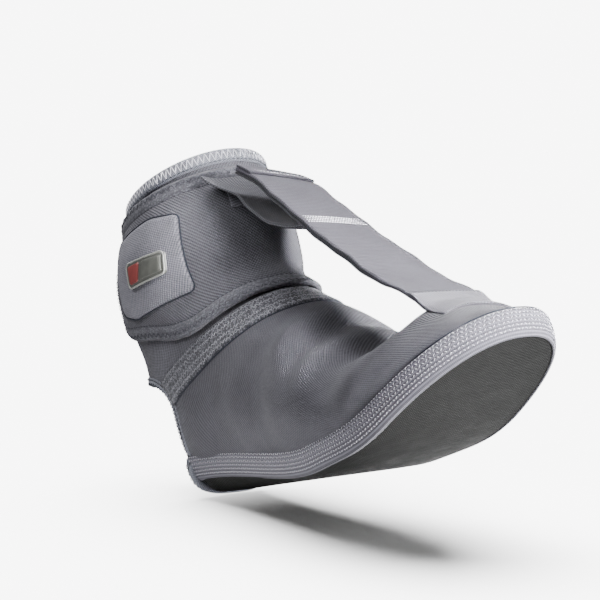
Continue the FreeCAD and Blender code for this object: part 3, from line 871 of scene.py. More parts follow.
def edge_band():
    """Ribbed elastic band round the sole, with its stitch rows and the dark seam along its top."""
    line, normal, lift = band_frame(430)
    rings = np.stack([band_point(line, normal, lift, o, h) for o, h in band_profile()], 1)
    at = arc_lengths(rings[:, 0])
    section = arc_lengths(rings[200])
    uv = np.stack(np.meshgrid(section, at), -1)
    flip = not faces_outward(rings, rings.mean(1, keepdims=True)[:-1])
    rows, columns = rings.shape[:2]
    faces = tube_faces(rows, columns, flip)
    band = make_object("edge_band", rings, faces, uv, [ELASTIC])
    forefoot_blend(band)
    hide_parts("edge_band_outer_side", "edge_band_inner_side", "edge_band_toe")
    rise = unit(band_point(line, normal, lift, 0, 1) - band_point(line, normal, lift, 0, 0))
    out = unit(band_point(line, normal, lift, 1, 0) - band_point(line, normal, lift, 0, 0))
    light = []
    for height in BAND_STITCH_HEIGHTS:
        outset = float(np.interp(height, [p[1] for p in band_profile()[:46]],
                                 [p[0] for p in band_profile()[:46]]))
        path = band_point(line, normal, lift, outset, height)
        light += row_of_stitches(path, out, rise, 2.1, 0.9, 0.25, 0.35)
    stitches = thread_object("edge_band_stitches", light, 0.13, THREAD_LIGHT)
    forefoot_blend(stitches)
    seam_path = band_point(line, normal, lift, BAND_OUTSET - 1.0, BAND_HEIGHT + 0.25)
    seam = loft_object("edge_band_seam", sweep(seam_path, out, rise, round_section(0.4, 0.3, 8)),
                       [THREAD_DARK])
    forefoot_blend(seam)


def round_section(half_width_, half_height, count=10):
    """An oval section."""
    turn = np.linspace(0, 2 * math.pi, count, endpoint=False)
    return np.stack([half_width_ * np.cos(turn), half_height * np.sin(turn)], 1)


def sole():
    """Grip sheet, stiffener and foot bed."""
    grip = sole_sheet("grip_sole", 0.05, OUTSOLE, 0.9, [GRIP], 4)
    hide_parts("outsole_heel", "outsole_toe")
    board = sole_sheet("sole_board", OUTSOLE + 0.1, OUTSOLE + 1.4, -2.5, [BADGE_DARK])
    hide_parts("sole_board_heel", "sole_board_toe")
    bed = sole_sheet("foot_bed", OUTSOLE + 1.5, OUTSOLE + 1.5 + INSOLE, -1.0, [LINING])
    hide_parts("insole_heel", "insole_toe")


# ------------------------------------------------------------------ pieces: knit upper

def sole_coordinates(points):
    """Length along the sole and height over it, for layout points."""
    x, z = points[..., 0], points[..., 2]
    turn = np.arctan2(x - FLAT_LENGTH, BEND_RADIUS - z)
    bent = FLAT_LENGTH + BEND_RADIUS * np.clip(turn, 0, TOE_PITCH)
    toe_x, toe_z = sole_point(FLAT_LENGTH + BEND_RADIUS * TOE_PITCH)
    rel_x, rel_z = x - toe_x, z - toe_z
    straight = rel_x * math.cos(TOE_PITCH) + rel_z * math.sin(TOE_PITCH)
    s = np.where(turn < 0, x, bent + np.where(turn > TOE_PITCH, straight, 0))
    h_bent = BEND_RADIUS - np.hypot(x - FLAT_LENGTH, BEND_RADIUS - z)
    h_straight = -rel_x * math.sin(TOE_PITCH) + rel_z * math.cos(TOE_PITCH)
    return s, np.where(turn < 0, z, np.where(turn > TOE_PITCH, h_straight, h_bent))


def knit_upper():
    """Foot and sleeve of the boot, one knit form cut along the seam under the tape."""
    grid = UPPER[:, :-1]
    wrapped = np.concatenate([grid, grid[:, :1]], 1)
    centre = (wrapped[:-1, :-1] + wrapped[1:, 1:]) / 2
    offset = seam_offset(centre)
    closed = opening_depth(centre) < -1.2
    s, height = sole_coordinates(centre)
    above_band = height > edge_lift(s) + BAND_HEIGHT - 5
    below = offset < -TAPE_WIDTH / 2
    inside = grid.mean(1, keepdims=True)[:-1]
    uv = grid_uv(grid)
    foot = sheet_object("knit_foot", grid, inside, KNIT, [KNIT_GREY, LINING],
                        closed & above_band & below, uv, True)
    forefoot_blend(foot)
    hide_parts("foot_panel_outer", "foot_panel_inner", "toe_panel")
    under_rim = centre[..., 2] < rim_line(centre[..., 0]) - 2.0
    sleeve = sheet_object("knit_sleeve", grid, inside, KNIT, [CUFF_GREY, LINING],
                          closed & ~below & under_rim, uv, True)
    cuff_blend(sleeve)
    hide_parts("ankle_sleeve")


def rim_line(x):
    """Side-view height of the cuff's top edge."""
    return 155.0 + 0.287 * (x + 2.3)


def wrap_top_line(x):
    """Side-view height of the wrap's top edge."""
    return 147.0 + 0.225 * x


def wrap_low_line(x):
    """Side-view height of the wrap's lower edge, lowest at the side and climbing over the instep."""
    knots, heights = np.array(WRAP_LOW_EDGE).T
    return float(curve_through(knots, heights, np.array([min(max(x, knots[0]), knots[-1])]))[0, 0])


def seam_tape():
    """Flat tape over the foot-to-cuff seam, round the front between the sides of the heel opening."""
    along = np.array([math.cos(SEAM_PITCH), 0, math.sin(SEAM_PITCH)])
    normal = np.array([-math.sin(SEAM_PITCH), 0, math.cos(SEAM_PITCH)])
    inner = np.array([0, 1.0, 0])
    offsets = np.linspace(-TAPE_WIDTH + 0.3, 0.3, 15)
    turns = np.linspace(-2.75, 2.75, 260)
    rows = []
    for offset in offsets:
        edge = min(offset + TAPE_WIDTH - 0.3, 0.3 - offset)
        lift = 0.15 + 0.85 * min(edge / 1.2, 1.0)
        origin = ANKLE + normal * (offset - SEAM_DROP) + along * 38
        rows.append([cast(origin, along * math.cos(a) + inner * math.sin(a), lift)[0] for a in turns])
    grid = np.array(rows)
    keep = opening_depth((grid[:-1, :-1] + grid[1:, 1:]) / 2) < -2.0
    centre = (ANKLE + along * 38)[None, None, :]
    tape = sheet_object("seam_tape", grid, centre, 0.9, [TAPE_CLOTH], keep)
    cuff_blend(tape)
    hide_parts("seam_tape_outer", "seam_tape_inner")
    stitches = []
    for row, zigzag in ((2, 0.7), (5, 0.7), (9, 0.7), (12, 0.7)):
        ok = opening_depth(grid[row]) < -3.0
        path = grid[row][ok]
        side = (grid[row + 1] - grid[row])[ok]
        out = unit(path - centre[0])
        stitches += row_of_stitches(path, out, side, 1.2, 0.95, 0.25, zigzag)
    thread = thread_object("seam_tape_stitches", stitches, 0.1, THREAD_MID)
    cuff_blend(thread)
    ok = opening_depth(grid[8]) < -3.0
    ok = opening_depth(grid[0]) < -2.5
    path = grid[0][ok] - normal * 0.25
    out = unit(path - centre[0])
    line = loft_object("seam_tape_edge", sweep(path, unit(np.cross(np.gradient(path, axis=0), out)), out,
                                               round_section(0.4, 0.45, 8)), [THREAD_DARK])
    cuff_blend(line)


def opening_path():
    """Closed line of the heel opening's bound edge, behind the ankle, down both sides and under the sole."""
    line = opening_line()
    points = []
    for turn in np.linspace(-math.pi + 0.03, -2.2, 14):
        point, _ = cast((-6.0, 0, 59.0), (math.cos(turn), math.sin(turn), 0))
        points.append(point)
    for x, z in line[(line[:, 0] > points[-1][0] + 2) | (line[:, 1] < 50)]:
        point = cast_side(x, z)
        if point is not None and z > 19:
            points.append(point)
    points += [np.array([0.4, -23.4, 15.0]), np.array([1.0, -22.6, 10.0]), np.array([1.6, -19.0, 5.2]),
               np.array([0.8, -12.5, 2.7]), np.array([-0.1, -6.0, 2.0]), np.array([-0.4, 0.0, 1.9])]
    half = along_path(points, 170)
    full = np.concatenate([half, (half * [1, -1, 1])[-2:0:-1]])
    for _ in range(6):
        full = (np.roll(full, 1, 0) + full * 2 + np.roll(full, -1, 0)) / 4
    return full


def heel_binding():
    """Bound edge round the heel opening, one ring with its two rows of stitches."""
    path = opening_path()
    tangent = unit(np.roll(path, -1, 0) - np.roll(path, 1, 0))
    middle = path.mean(0) + np.array([-10.0, 0, 0])
    # material lies away from the opening's middle in side view; the sheet's normal points out of the boot
    inward = path - middle
    inward[:, 1] *= 0.15
    normal = unit(np.cross(tangent, unit(inward)))
    outward = path - np.array([8.0, 0, 40.0])
    normal *= np.sign((normal * outward).sum(1, keepdims=True))
    # over the Achilles the edge lies flat on the knit, which faces away from the ankle
    behind = (smooth_step(-path[:, 0], 12.0, 34.0) * smooth_step(path[:, 2], 40.0, 52.0))[:, None]
    normal = unit(normal * (1 - behind) + unit((path - [-6.0, 0, 0]) * [1, 1, 0]) * behind)
    side = unit(np.cross(normal, tangent))
    side *= np.sign((side * inward).sum(1, keepdims=True))
    section = flat_section(5.4, 3.6, 8)
    rings = sweep(path - normal * 0.9 + side * 0.6, side, normal, section)
    ring = loft_object("heel_binding", rings, [BINDING], closed_path=True)
    cuff_blend(ring)
    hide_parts("heel_binding_lower", "heel_binding_upper")
    stitches = row_of_stitches(path + normal * 0.85 + side * 1.9, normal, side, 2.6, 1.9, 0.3)
    stitches += row_of_stitches(path + normal * 0.85 - side * 0.5, normal, side, 1.7, 1.5, 0.25, 0.8)
    thread = thread_object("heel_binding_stitches", stitches, 0.19, THREAD_DARK)
    cuff_blend(thread)


def rim_binding():
    """Stitched rim of the cuff, gathered slightly between its stitches."""
    turns = np.linspace(0, 2 * math.pi, 240, endpoint=False)
    tops = [cuff_height(a, rim_line) for a in turns]
    profile = [(RIM_WIDTH, -0.2), (RIM_WIDTH - 0.3, 0.6), (RIM_WIDTH - 1.2, 1.0)]
    profile += [(d, 1.1 + 0.15 * math.sin(d * 1.6)) for d in np.linspace(RIM_WIDTH - 2.4, 1.4, 7)]
    profile += [(0.5, 0.7), (0.0, -0.3), (-0.25, -1.6), (0.0, -2.9), (0.6, -3.8)]
    profile += [(d, -4.1) for d in np.linspace(1.6, RIM_WIDTH - 0.8, 5)] + [(RIM_WIDTH, -3.4)]
    rings = []
    for angle, top in zip(turns, tops):
        gather = 0.22 * math.sin(angle * 46) + 0.12 * math.sin(angle * 17 + 1)
        ring = []
        for depth, lift in profile:
            frill = gather * math.sin(math.pi * min(max(depth / RIM_WIDTH, 0), 1)) if lift > 0 else 0
            ring.append(cuff_point(angle, top - depth, lift + frill)[0])
        rings.append(ring)
    rings = np.array(rings)
    rim = loft_object("rim_binding_cloth", rings, [BINDING], closed_path=True)
    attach(rim, "cuff")
    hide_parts("rim_binding")
    up, _, _ = leg_axes()
    dark, light = [], []
    for depth, zigzag, pitch, target in ((RIM_WIDTH / 2 - 0.2, 2.3, 1.5, light),
                                         (RIM_WIDTH - 0.9, 0.0, 2.4, dark)):
        path, out = [], []
        for angle, top in zip(turns, tops):
            point, normal = cuff_point(angle, top - depth, 1.2)
            path.append(point)
            out.append(normal)
        path, out = np.array(path + path[:1]), np.array(out + out[:1])
        target += row_of_stitches(path, out, np.tile(up, (len(path), 1)), pitch, 1.4 if zigzag else 1.7,
                                  0.35, zigzag)
    for name, stitches, material in (("rim_zigzag", light, THREAD_LIGHT), ("rim_seam", dark, THREAD_DARK)):
        thread = thread_object(name, stitches, 0.2, material)
        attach(thread, "cuff")


# ------------------------------------------------------------------ pieces: ankle wrap

def wrap_cloth(first, last, columns):
    """Outer points of the wrap between two angles, with millimetres in from the nearest edge."""
    turns = np.linspace(first, last, columns)
    lows = np.array([cuff_height(a, wrap_low_line) for a in turns])
    highs = np.array([cuff_height(a, wrap_top_line) for a in turns])
    middle = np.array([cuff_point(a, (l + h) / 2, WRAP_GAP + WRAP_THICKNESS)[0] for a, l,
                       h in zip(turns, lows, highs)])
    at = arc_lengths(middle)
    to_end = at[-1] - at
    corner = np.clip(FLAP_CORNER - to_end, 0, FLAP_CORNER)
    cut = FLAP_CORNER - np.sqrt(np.maximum(FLAP_CORNER ** 2 - corner ** 2, 0))
    lows, highs = lows + cut, highs - cut
    rows = []
    edges = []
    border = list(np.linspace(0, BORDER, 9)) + [BORDER + 0.8]
    for k, angle in enumerate(turns):
        tall = highs[k] - lows[k]
        step = border if tall > 2 * BORDER + 4 else list(np.linspace(0, tall / 2 - 1, 10))
        heights = list(lows[k] + np.array(step))
        top = list((highs[k] - np.array(step))[::-1])
        heights += list(np.linspace(heights[-1], top[0], 26)[1:-1]) + top
        column, inset = [], []
        for h in heights:
            d = min(h - lows[k], highs[k] - h, to_end[k])
            roll = 2.3 * max(0.0, 1 - d / 2.2) ** 2
            groove = 0.55 * math.exp(-((d - BORDER) / 0.55) ** 2)
            raised = 0.35 * (1 - float(smooth_step(d, BORDER - 0.6, BORDER)))
            puff = 0.5 * float(smooth_step(d, BORDER, BORDER + 12))
            wave = 0.18 * math.sin(angle * 31 + h * 0.11) * (1 if d < 5 else 0)
            lift = WRAP_GAP + WRAP_THICKNESS + raised + puff - roll - groove + wave
            column.append(cuff_point(angle, h, lift)[0])
            inset.append(d)
        rows.append(column)
        edges.append(inset)
    return np.array(rows), np.array(edges)


def wrap_part(name, first, last, columns):
    """One part of the wrap with its border in border cloth."""
    grid, edges = wrap_cloth(first, last, columns)
    inside = CUFF_MIDDLE[None, None, :]
    part = sheet_object(name, grid, inside, WRAP_THICKNESS - 0.3, [CUFF_GREY, LINING])
    part.data.materials.append(BORDER_CLOTH)
    part.data.materials.append(BORDER_CLOTH)
    middle = (edges[:-1, :-1] + edges[1:, 1:]) / 2
    index = np.where(middle < BORDER - 0.05, 2, 0).ravel()
    part.data.polygons.foreach_set("material_index", index.astype(np.int32))
    return part, grid, edges


def wrap_border_stitches(name, grid, edges):
    """Overlock and seam stitches that follow the wrap's edges."""
    dark, light = [], []
    leg = leg_axes()[0]

    def outwards(path):
        rel = path - CUFF_MIDDLE
        return unit(rel - np.outer(rel @ leg, leg))

    for row, sign in ((3, 1), (-4, -1)):
        path = grid[:, row]
        dark += row_of_stitches(path, outwards(path), grid[:, row + sign] - path, 2.0, 1.7, 0.3, 1.3)
    for row, sign in ((8, 1), (-9, -1)):
        path = grid[:, row]
        light += row_of_stitches(path, outwards(path), grid[:, row + sign] - path, 2.6, 1.9, 0.15)
    column = int(np.argmin(np.abs(edges[:, edges.shape[1] // 2] - 4.0)))
    path = grid[column, 8:-8]
    dark += row_of_stitches(path, outwards(path), path - grid[column - 1, 8:-8], 2.0, 1.7, 0.3, 1.3)
    return (thread_object(name + "_overlock", dark, 0.15, THREAD_DARK),
            thread_object(name + "_seam", light, 0.18, THREAD_DARK))


def flap_blend(obj):
    """Bakes a piece's placement into its mesh; the line where the wrap's flap leaves the cuff is read but not
    used to bend it.
    """
    start, end = place(FLAP_ROOT)
    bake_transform(obj)


def cuff_band(name, first, last, low, high, lift, thickness, materials):
    """A thin rectangle laid round the cuff between two angles and two side-view heights, and its cut size."""
    rows = []
    for angle in np.linspace(first, last, 40):
        bottom, top = cuff_height(angle, lambda x: low), cuff_height(angle, lambda x: high)
        rows.append([cuff_point(angle, h, lift)[0] for h in np.linspace(bottom, top, 24)])
    rows = np.array(rows)
    cut = arc_lengths(rows[:, 12])[-1], arc_lengths(rows[20])[-1]
    return sheet_object(name, rows, CUFF_MIDDLE[None, None, :], thickness, materials), cut


def wrap():
    """The ankle wrap: sewn on at its inner side, round the front, free to peel open on the outer side."""
    cloth, grid, edges = wrap_part("wrap_cloth", INNER_END_ANGLE, FLAP_END_ANGLE, 280)
    flap_blend(cloth)
    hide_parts("wrap_fixed_part", "wrap_fixed_border", "wrap_flap", "wrap_flap_border")
    for thread in wrap_border_stitches("wrap", grid, edges):
        flap_blend(thread)
    end = grid[0]
    out = unit(end - CUFF_MIDDLE)
    seam = loft_object("wrap_inner_seam",
                       sweep(end, unit(grid[0] - grid[1]), out, flat_section(5.0, 1.6, 6)), [TAPE_CLOTH])
    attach(seam, "cuff")
    hook, cut = cuff_band("flap_hook_pad", *HOOK_FIELD, 0.8, 0.3, [HOOK])
    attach(hook, "wrap")
    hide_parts("wrap_hook_pad")
    loop, cut = cuff_band("sleeve_loop_pad_pile", *HOOK_FIELD, 0.4, 0.35, [LINING])
    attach(loop, "cuff")
    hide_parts("sleeve_loop_pad")


def rounded_outline(corners, radius, count=120):
    """Closed side-view outline with rounded corners, evenly spaced."""
    corners = np.array(corners, float)
    line = []
    for k, corner in enumerate(corners):
        a, b = unit(corners[k - 1] - corner), unit(corners[(k + 1) % len(corners)] - corner)
        for t in np.linspace(0, 1, 9):
            line.append(corner + a * radius * (1 - t) ** 2 + b * radius * t ** 2)
    line = np.array(line + line[:1])
    at = arc_lengths(line)
    wanted = np.linspace(0, at[-1], count, endpoint=False)
    return np.stack([np.interp(wanted, at, line[:, k]) for k in (0, 1)], 1)


def side_patch(name, outline, low, high, materials, roll=0.8, rings=16):
    """A sewn or moulded pad on the outer side, between two lifts over the knit, from a side-view outline."""
    centre = outline.mean(0)
    size = np.linalg.norm(outline - centre, axis=1)
    top, uv = [], []
    for share in np.linspace(0, 1, rings) ** 0.8:
        ring, ring_uv = [], []
        for point, reach in zip(outline, size):
            x, z = centre + (point - centre) * max(share, 0.01)
            edge = (1 - share) * reach
            lift = high - (high - low) * 0.75 * max(0.0, 1 - edge / roll) ** 2
            ring.append(cast_side(x, z, lift))
            ring_uv.append((x, z))
        top.append(ring)
        uv.append(ring_uv)
    skirt = [cast_side(*point, low) for point in outline]
    top.append(skirt)
    uv.append([(x + 1, z + 1) for x, z in uv[-1]])
    grid = np.array(top)
    rows, columns = grid.shape[:2]
    probe = np.cross(grid[5, 1] - grid[5, 0], grid[6, 0] - grid[5, 0])
    flip = probe[1] > 0
    faces = tube_faces(rows, columns, flip)
    return make_object(name, grid, faces, np.array(uv), materials)


PATCH_OUTLINE = [(-20.0, 92.0), (-6.0, 88.5), (38.5, 97.0), (35.0, 116.0), (32.0, 136.0), (14.0, 136.5),
                 (-21.0, 128.0)]
BADGE_OUTLINE = [(-2.0, 103.6), (26.0, 107.6), (26.2, 118.8), (-2.6, 116.0)]


def closure():
    """Pull-tab patch with its dark seam, and the plain moulded badge."""
    base = WRAP_GAP + WRAP_THICKNESS
    outline = rounded_outline(PATCH_OUTLINE, 4.0)
    patch = side_patch("pull_tab_patch", outline, base, base + 1.5, [PATCH_GREY])
    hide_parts("closure_patch")
    path = np.array([cast_side(x, z, base + 0.75) for x, z in np.concatenate([outline, outline[:2]])])
    side = unit(np.gradient(path, axis=0))
    out = np.tile(np.array([0, -1.0, 0]), (len(path), 1))
    seam = loft_object("pull_tab_seam",
                       sweep(path, unit(np.cross(side, out)), out,
                             round_section(0.45, 0.45, 8)), [THREAD_DARK])
    outline = rounded_outline(BADGE_OUTLINE, 2.6, 96)
    plate = side_patch("badge_plate", outline, base + 1.2, base + 3.2, [BADGE_DARK], 0.6)
    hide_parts("badge_base")
    path = np.array([cast_side(x, z, base + 3.1) for x, z in np.concatenate([outline, outline[:2]])])
    side = unit(np.gradient(path, axis=0))
    out = np.tile(np.array([0, -1.0, 0]), (len(path), 1))
    # The rim ring takes the light rim colour, a painted highlight all round the badge.
    rim = loft_object("badge_rim",
                      sweep(path, unit(np.cross(side, out)), out,
                            round_section(0.45, 0.4, 10)), [BADGE_RIM_PAINTED_HIGHLIGHT])
    red = rounded_outline([(-0.6, 105.4), (6.8, 106.4), (9.4, 115.8), (-1.0, 114.7)], 1.0, 60)
    dark = rounded_outline([(8.2, 106.6), (24.4, 109.0), (24.6, 117.2), (10.9, 116.0)], 1.0, 60)
    red_field = side_patch("badge_field_left", red, base + 3.0, base + 3.75, [BADGE_RED], 0.4, 8)
    dark_field = side_patch("badge_field_right", dark, base + 3.0, base + 3.75, [BADGE_DARK], 0.4, 8)
    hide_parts("badge_inlay")
    for obj in (patch, seam, plate, rim, red_field, dark_field):
        flap_blend(obj)


# ------------------------------------------------------------------ pieces: strap

STRAP_LINE = [(65.0, 151.0), (80.0, 143.5), (95.0, 132.5), (111.5, 119.5), (135.0, 103.2), (160.0, 86.5),
              (186.0, 72.4), (197.0, 66.8), (211.0, 62.6)]
TAB_LINE = [(114.5, 115.2), (97.0, 117.8), (83.0, 123.5), (69.0, 132.5), (59.5, 142.0), (53.5, 149.0),
            (50.0, 152.5)]
STRAP_ROLL = 5.5  # how much lower the strap's inner edge is at its pull end


def strap_frame(line, count):
    """Path of a strap in side view with its across and upward vectors."""
    path = along_path([(x, 0, z) for x, z in line], count)
    tangent = unit(np.gradient(path, axis=0))
    side = np.tile(np.array([0, 1.0, 0]), (count, 1))
    up = np.cross(tangent, side)
    up *= np.sign(up[:, 2:3] + 1e-9)
    return path, side, up


def strap_rings(path, side, up, width, thickness, sag, start_roll=0.0, end_roll=0.0):
    """Strap section along a path: dished across, rippled at its edges and rolled to its inner side."""
    rings = []
    section = flat_section(width, thickness, 16)
    at = arc_lengths(path)
    for k, (point, s, n) in enumerate(zip(path, side, up)):
        t = at[k] / at[-1]
        y = section[:, 0]
        edge = (2 * np.abs(y) / width) ** 4
        ripple = edge * (0.35 * math.sin(at[k] / 7.0) + 0.2 * math.sin(at[k] / 3.1 + 1.0))
        roll = -(start_roll * (1 - t) ** 1.3 + end_roll * t ** 2) * np.clip(0.5 + y / width, 0, 1)
        dish = sag * (1 - (2 * y / width) ** 2) + ripple + roll
        rings.append(point + s * y[:, None] + n * (section[:, 1] + dish)[:, None])
    return np.array(rings)


def drape(rings, first_x, last_x, lift):
    """Lowers or raises the rings past first_x onto the toe's knit, fully so past last_x."""
    out = rings.copy()
    flat = out.reshape(-1, 3)
    own = rings.reshape(-1, 3)[:, 2] - np.repeat(rings.mean(1)[:, 2], rings.shape[1])
    for k, point in enumerate(flat):
        share = float(smooth_step(point[0], first_x, last_x))
        if share > 0:
            hit, _, _, _ = SKIN.ray_cast(Vector((point[0], point[1], 200.0)), Vector((0, 0, -1)))
            if hit is not None:
                point[2] = point[2] * (1 - share) + (hit.z + lift + own[k]) * share
    return out


def root_blend(obj):
    """Bakes a piece's placement into its mesh; the strap's sewn root on the toe is read but not used to bend
    it.
    """
    start, end = place(STRAP_ROOT)
    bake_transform(obj)


def strap():
    """Dorsiflexion strap with its patch, hem, stitch rows and the hook tab underneath."""
    path, side, up = strap_frame(STRAP_LINE, 170)
    rings = strap_rings(path, side, up, STRAP_WIDTH, STRAP_THICKNESS, 0.5, STRAP_ROLL)
    upper = loft_object("strap_cloth", drape(rings, *TOE_LANDING, 0.1), [STRAP_CLOTH])
    root_blend(upper)
    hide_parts("dorsiflexion_strap")
    under = slice(0, int(np.argmin(np.abs(path[:, 0] - 184.0))))
    depth = (STRAP_THICKNESS / 2 + 0.75) * (1 - smooth_step(path[:, 0], 150, 184))
    back = strap_rings(path - up * depth[:, None], side, up, STRAP_WIDTH - 0.2, 1.5, 0.5, STRAP_ROLL)
    backing = loft_object("strap_backing", back[under], [STRAP_BACK])
    root_blend(backing)
    hem_part = slice(0, 13)
    hem_rings = strap_rings(path + up * (STRAP_THICKNESS / 2 + 0.6), side, up, STRAP_WIDTH - 0.6, 1.3,
                            0.5, STRAP_ROLL)
    hem = loft_object("pull_end_hem", hem_rings[hem_part], [STRAP_CLOTH])
    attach(hem, "strap")
    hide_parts("strap_end_hem")
    start = int(np.argmin(np.abs(path[:, 0] - 187.0)))
    patch_rings = strap_rings(path + up * (STRAP_THICKNESS / 2 + 0.25), side, up, STRAP_WIDTH + 0.5, 0.9,
                              0.5, STRAP_ROLL)
    # The toe patch's paler knit carries painted light from the lit toe as well as its own tone.
    patch = loft_object("toe_patch", drape(patch_rings, *TOE_LANDING, 0.9)[start:], [KNIT_PALE_WITH_PAINTED_LIGHT])
    root_blend(patch)
    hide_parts("toe_anchor_patch")
    hook_tab()
    light, dark = [], []
    at = arc_lengths(path)
    across = np.linspace(-STRAP_WIDTH / 2 + 1.6, STRAP_WIDTH / 2 - 1.6, 40)
    middle = float(at[np.argmin(np.abs(path[:, 0] - 114.0))])
    for shift in (-2.7, -0.9, 0.9, 2.7):
        light += cross_stitches(path, up, at, middle + shift, across, STRAP_THICKNESS / 2 + 0.3, 1.5, 0.8)
    seam = float(at[np.argmin(np.abs(path[:, 0] - 188.5))])
    dark += cross_stitches(path, up, at, seam, across, STRAP_THICKNESS / 2 + 1.0, 1.9, 1.25)
    hem_line = float(at[9])
    light += cross_stitches(path, up, at, hem_line, across, STRAP_THICKNESS / 2 + 1.45, 2.0, 1.3)
    rows = thread_object("strap_stitches", light, 0.34, THREAD_LIGHT)
    root_blend(rows)
    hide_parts("strap_stitch_rows")
    seams = thread_object("strap_root_stitches", dark, 0.26, THREAD_DARK)
    root_blend(seams)


def hook_tab():
    """Hook tab under the strap, pressed onto the cuff, with its outer corner curled up and out."""
    path, side, up = strap_frame(TAB_LINE, 130)
    rings = strap_rings(path, side, up, STRAP_WIDTH - 2.0, 1.6, -0.8, 0.0, 7.0)
    at = arc_lengths(path) / arc_lengths(path)[-1]
    for k, t in enumerate(at):
        ring = rings[k]
        corner = smooth_step(-ring[:, 1], 4.0, 18.0) * float(smooth_step(t, 0.72, 1.0))
        curl = smooth_step(-ring[:, 1], 12.0, 18.0) * float(smooth_step(t, 0.8, 1.0))
        rings[k] = ring + np.stack([-3.5 * corner - 3.0 * curl, -5.5 * corner - 1.5 * curl,
                                    -3.5 * corner + 2.5 * curl], 1)
    tab = loft_object("hook_tab", rings, [HOOK])
    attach(tab, "strap")
    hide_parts("strap_hook_tab")


def cross_stitches(path, up, at, where, across, lift, pitch, length):
    """A row of stitches across the strap, on its dished and rolled face."""
    point = np.array([np.interp(where, at, path[:, k]) for k in range(3)])
    normal = unit([np.interp(where, at, up[:, k]) for k in range(3)])
    roll = STRAP_ROLL * (1 - where / at[-1]) ** 1.3
    line = np.array([point + np.array([0, y, 0]) + normal * (
        0.5 * (1 - (2 * y / STRAP_WIDTH) ** 2) - roll * min(max(0.5 + y / STRAP_WIDTH, 0),
                                                            1)) for y in across])
    along = np.tile(np.cross(normal, [0, 1.0, 0]), (len(line), 1))
    return row_of_stitches(line, np.tile(normal, (len(line), 1)), along, pitch, length, lift)


def front_loop():
    """Loop patch on the wrap's front, where the hook tab grips."""
    lift = WRAP_GAP + WRAP_THICKNESS + 1.0
    pad, cut = cuff_band("front_loop_pad", math.radians(-14), math.radians(14), 134.0, 149.0, lift, 0.7,
                         [PATCH_GREY])
    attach(pad, "cuff")
    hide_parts("front_loop_patch")


# ------------------------------------------------------------------ stage, camera and light

CAMERA_AZIMUTH = math.radians(54.86)
CAMERA_ELEVATION = math.radians(-5.46)
CAMERA_ROLL = math.radians(-6.6)
CAMERA_DISTANCE = 1105.0
CAMERA_TARGET = np.array([105.0, 0.0, 57.0])
CAMERA_AIM = (-18.2, 24.0)  # the view's middle, right and up of the target
CAMERA_LENS = 142.6
FLOOR_TIP = math.radians(7.0)
FLOOR_SOLID, FLOOR_END = 0.05, 0.25  # metres from the middle where the floor starts and ends its fade
AMBIENT, BACKDROP = 0.32, 8.0


def camera_axes():
    """Towards the camera, to its right and up."""
    a, e = CAMERA_AZIMUTH, CAMERA_ELEVATION
    back = np.array([math.sin(a) * math.cos(e), -math.cos(a) * math.cos(e), math.sin(e)])
    right = np.array([math.cos(a), math.sin(a), 0])
    up = np.cross(back, right)
    r = math.cos(CAMERA_ROLL) * right + math.sin(CAMERA_ROLL) * up
    u = -math.sin(CAMERA_ROLL) * right + math.cos(CAMERA_ROLL) * up
    return back, r, u


def look_at(obj, place_, target, up):
    """Puts a camera or light at a layout point, facing another."""
    position, aim = [Vector(p) for p in place([place_, target])]
    back = (position - aim).normalized()
    right = Vector(up).cross(back).normalized()
    over = back.cross(right)
    obj.matrix_world = Matrix.Translation(position) @ Matrix((right, over, back)).transposed().to_4x4()


def camera():
    """The camera, turned to the pose in which the boot is worn: heel down, toe raised."""
    back, right, up = camera_axes()
    data = bpy.data.cameras.new("camera")
    data.lens = CAMERA_LENS
    data.sensor_width = 36.0
    data.clip_start, data.clip_end = 0.05, 20.0
    obj = bpy.data.objects.new("camera", data)
    bpy.context.scene.collection.objects.link(obj)
    aim = CAMERA_TARGET + right * CAMERA_AIM[0] + up * CAMERA_AIM[1]
    look_at(obj, aim + back * CAMERA_DISTANCE, aim, up)
    bpy.context.scene.camera = obj


def area_light(name, offset, size, power, floor, floor_lit=False, target=(100.0, 0.0, 70.0), spread=180.0):
    """A soft light at right, up and back of its target in millimetres, for the floor or all but it."""
    back, right, up = camera_axes()
    data = bpy.data.lights.new(name, "AREA")
    data.shape = "RECTANGLE"
    data.size, data.size_y = size
    data.energy = power
    data.spread = math.radians(spread)
    obj = bpy.data.objects.new(name, data)
    bpy.context.scene.collection.objects.link(obj)
    middle = np.array(target)
    look_at(obj, middle + right * offset[0] + up * offset[1] + back * offset[2], middle, up)
    receivers = bpy.data.collections.new(name + "_receivers")
    receivers.objects.link(floor)
    receivers.collection_objects[0].light_linking.link_state = "INCLUDE" if floor_lit else "EXCLUDE"
    obj.light_linking.receiver_collection = receivers


def fading_floor_material(middle):
    """Pale matt floor that thins out to nothing away from the boot."""
    material = bpy.data.materials.new("floor_white")
    material.use_nodes = True
    tree = material.node_tree
    shader = tree.nodes["Principled BSDF"]
    shader.inputs["Base Color"].default_value = (0.9, 0.9, 0.9, 1)
    shader.inputs["Roughness"].default_value = 0.9
    shader.inputs["Specular IOR Level"].default_value = 0.0
    where = tree.nodes.new("ShaderNodeTexCoord")
    away = tree.nodes.new("ShaderNodeVectorMath")
    away.operation = "DISTANCE"
    away.inputs[1].default_value = tuple(place([middle])[0])
    link(tree, where.outputs["Object"], away.inputs[0])
    fade = tree.nodes.new("ShaderNodeMapRange")
    fade.interpolation_type = "SMOOTHERSTEP"
    fade.inputs["From Min"].default_value = FLOOR_SOLID
    fade.inputs["From Max"].default_value = FLOOR_END
    fade.inputs["To Min"].default_value = 1.0
    fade.inputs["To Max"].default_value = 0.0
    link(tree, away.outputs["Value"], fade.inputs["Value"])
    under = tree.nodes.new("ShaderNodeNewGeometry").outputs["Backfacing"]
    link(tree, math_node(tree, "MULTIPLY", fade.outputs[0], math_node(tree, "SUBTRACT", 1.0, under)),
         shader.inputs["Alpha"])
    return material


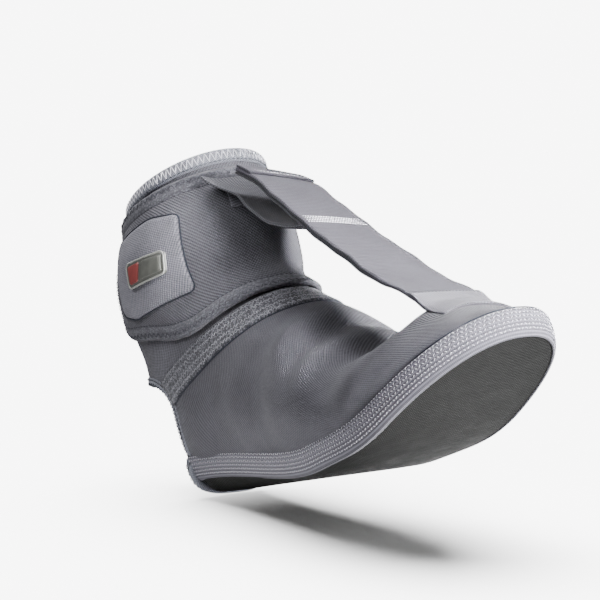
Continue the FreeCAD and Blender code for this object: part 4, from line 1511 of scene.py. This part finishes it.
def white_world():
    """White surroundings that give off only a soft ambient light."""
    world = bpy.data.worlds.new("white")
    bpy.context.scene.world = world
    world.use_nodes = True
    tree = world.node_tree
    path = tree.nodes.new("ShaderNodeLightPath")
    glow = tree.nodes.new("ShaderNodeMapRange")
    glow.inputs["To Min"].default_value = AMBIENT
    glow.inputs["To Max"].default_value = BACKDROP
    link(tree, path.outputs["Is Camera Ray"], glow.inputs["Value"])
    link(tree, glow.outputs[0], tree.nodes["Background"].inputs["Strength"])
    tree.nodes["Background"].inputs["Color"].default_value = (1.0, 1.0, 1.0, 1)


def stage():
    """Pale floor under the heel, tipped as the boot is worn, white surroundings and soft studio light."""
    back, _, up = camera_axes()
    normal = math.cos(FLOOR_TIP) * up + math.sin(FLOOR_TIP) * back
    s = np.linspace(0, 240, 60)
    sole_points = np.concatenate([sole_space(s, y, 0 * s) for y in (-20, 0, 20)])
    touch = float((sole_points @ normal).min()) - 1.0
    spread_a = unit(np.cross(normal, back))
    spread_b = np.cross(normal, spread_a)
    middle = np.array([110.0, 0, 0.0])
    middle = middle + normal * (touch - middle @ normal)
    size = FLOOR_END * 1000 + 20
    turns = np.linspace(0, 2 * math.pi, 48, endpoint=False)
    corners = [middle + (spread_a * math.cos(t) + spread_b * math.sin(t)) * size for t in turns]
    mesh = bpy.data.meshes.new("floor")
    mesh.from_pydata([tuple(p) for p in place(corners)], [], [tuple(range(len(corners)))])
    floor = bpy.data.objects.new("floor", mesh)
    bpy.context.scene.collection.objects.link(floor)
    if Vector(normal).dot(mesh.polygons[0].normal) < 0:
        mesh.flip_normals()
    mesh.materials.append(fading_floor_material(middle))
    white_world()
    area_light("floor_overhead", (0, 1200, 60), (1.5, 1.5), 210, floor, True)
    area_light("overhead", (0, 950, 60), (0.4, 0.4), 30, floor)
    area_light("front_softbox", (520, 620, 560), (0.45, 0.45), 10, floor)
    area_light("left_softbox", (-700, 640, 380), (0.5, 0.5), 18, floor)
    area_light("back_softbox", (-300, 500, -900), (0.5, 0.5), 8, floor)
    area_light("toe_softbox", (330, 90, 330), (0.2, 0.2), 3.2, floor, False, (236.0, -10.0, 45.0), 27.0)


sole()
edge_band()
knit_upper()
seam_tape()
heel_binding()
rim_binding()
wrap()
closure()
front_loop()
strap()
camera()
stage()
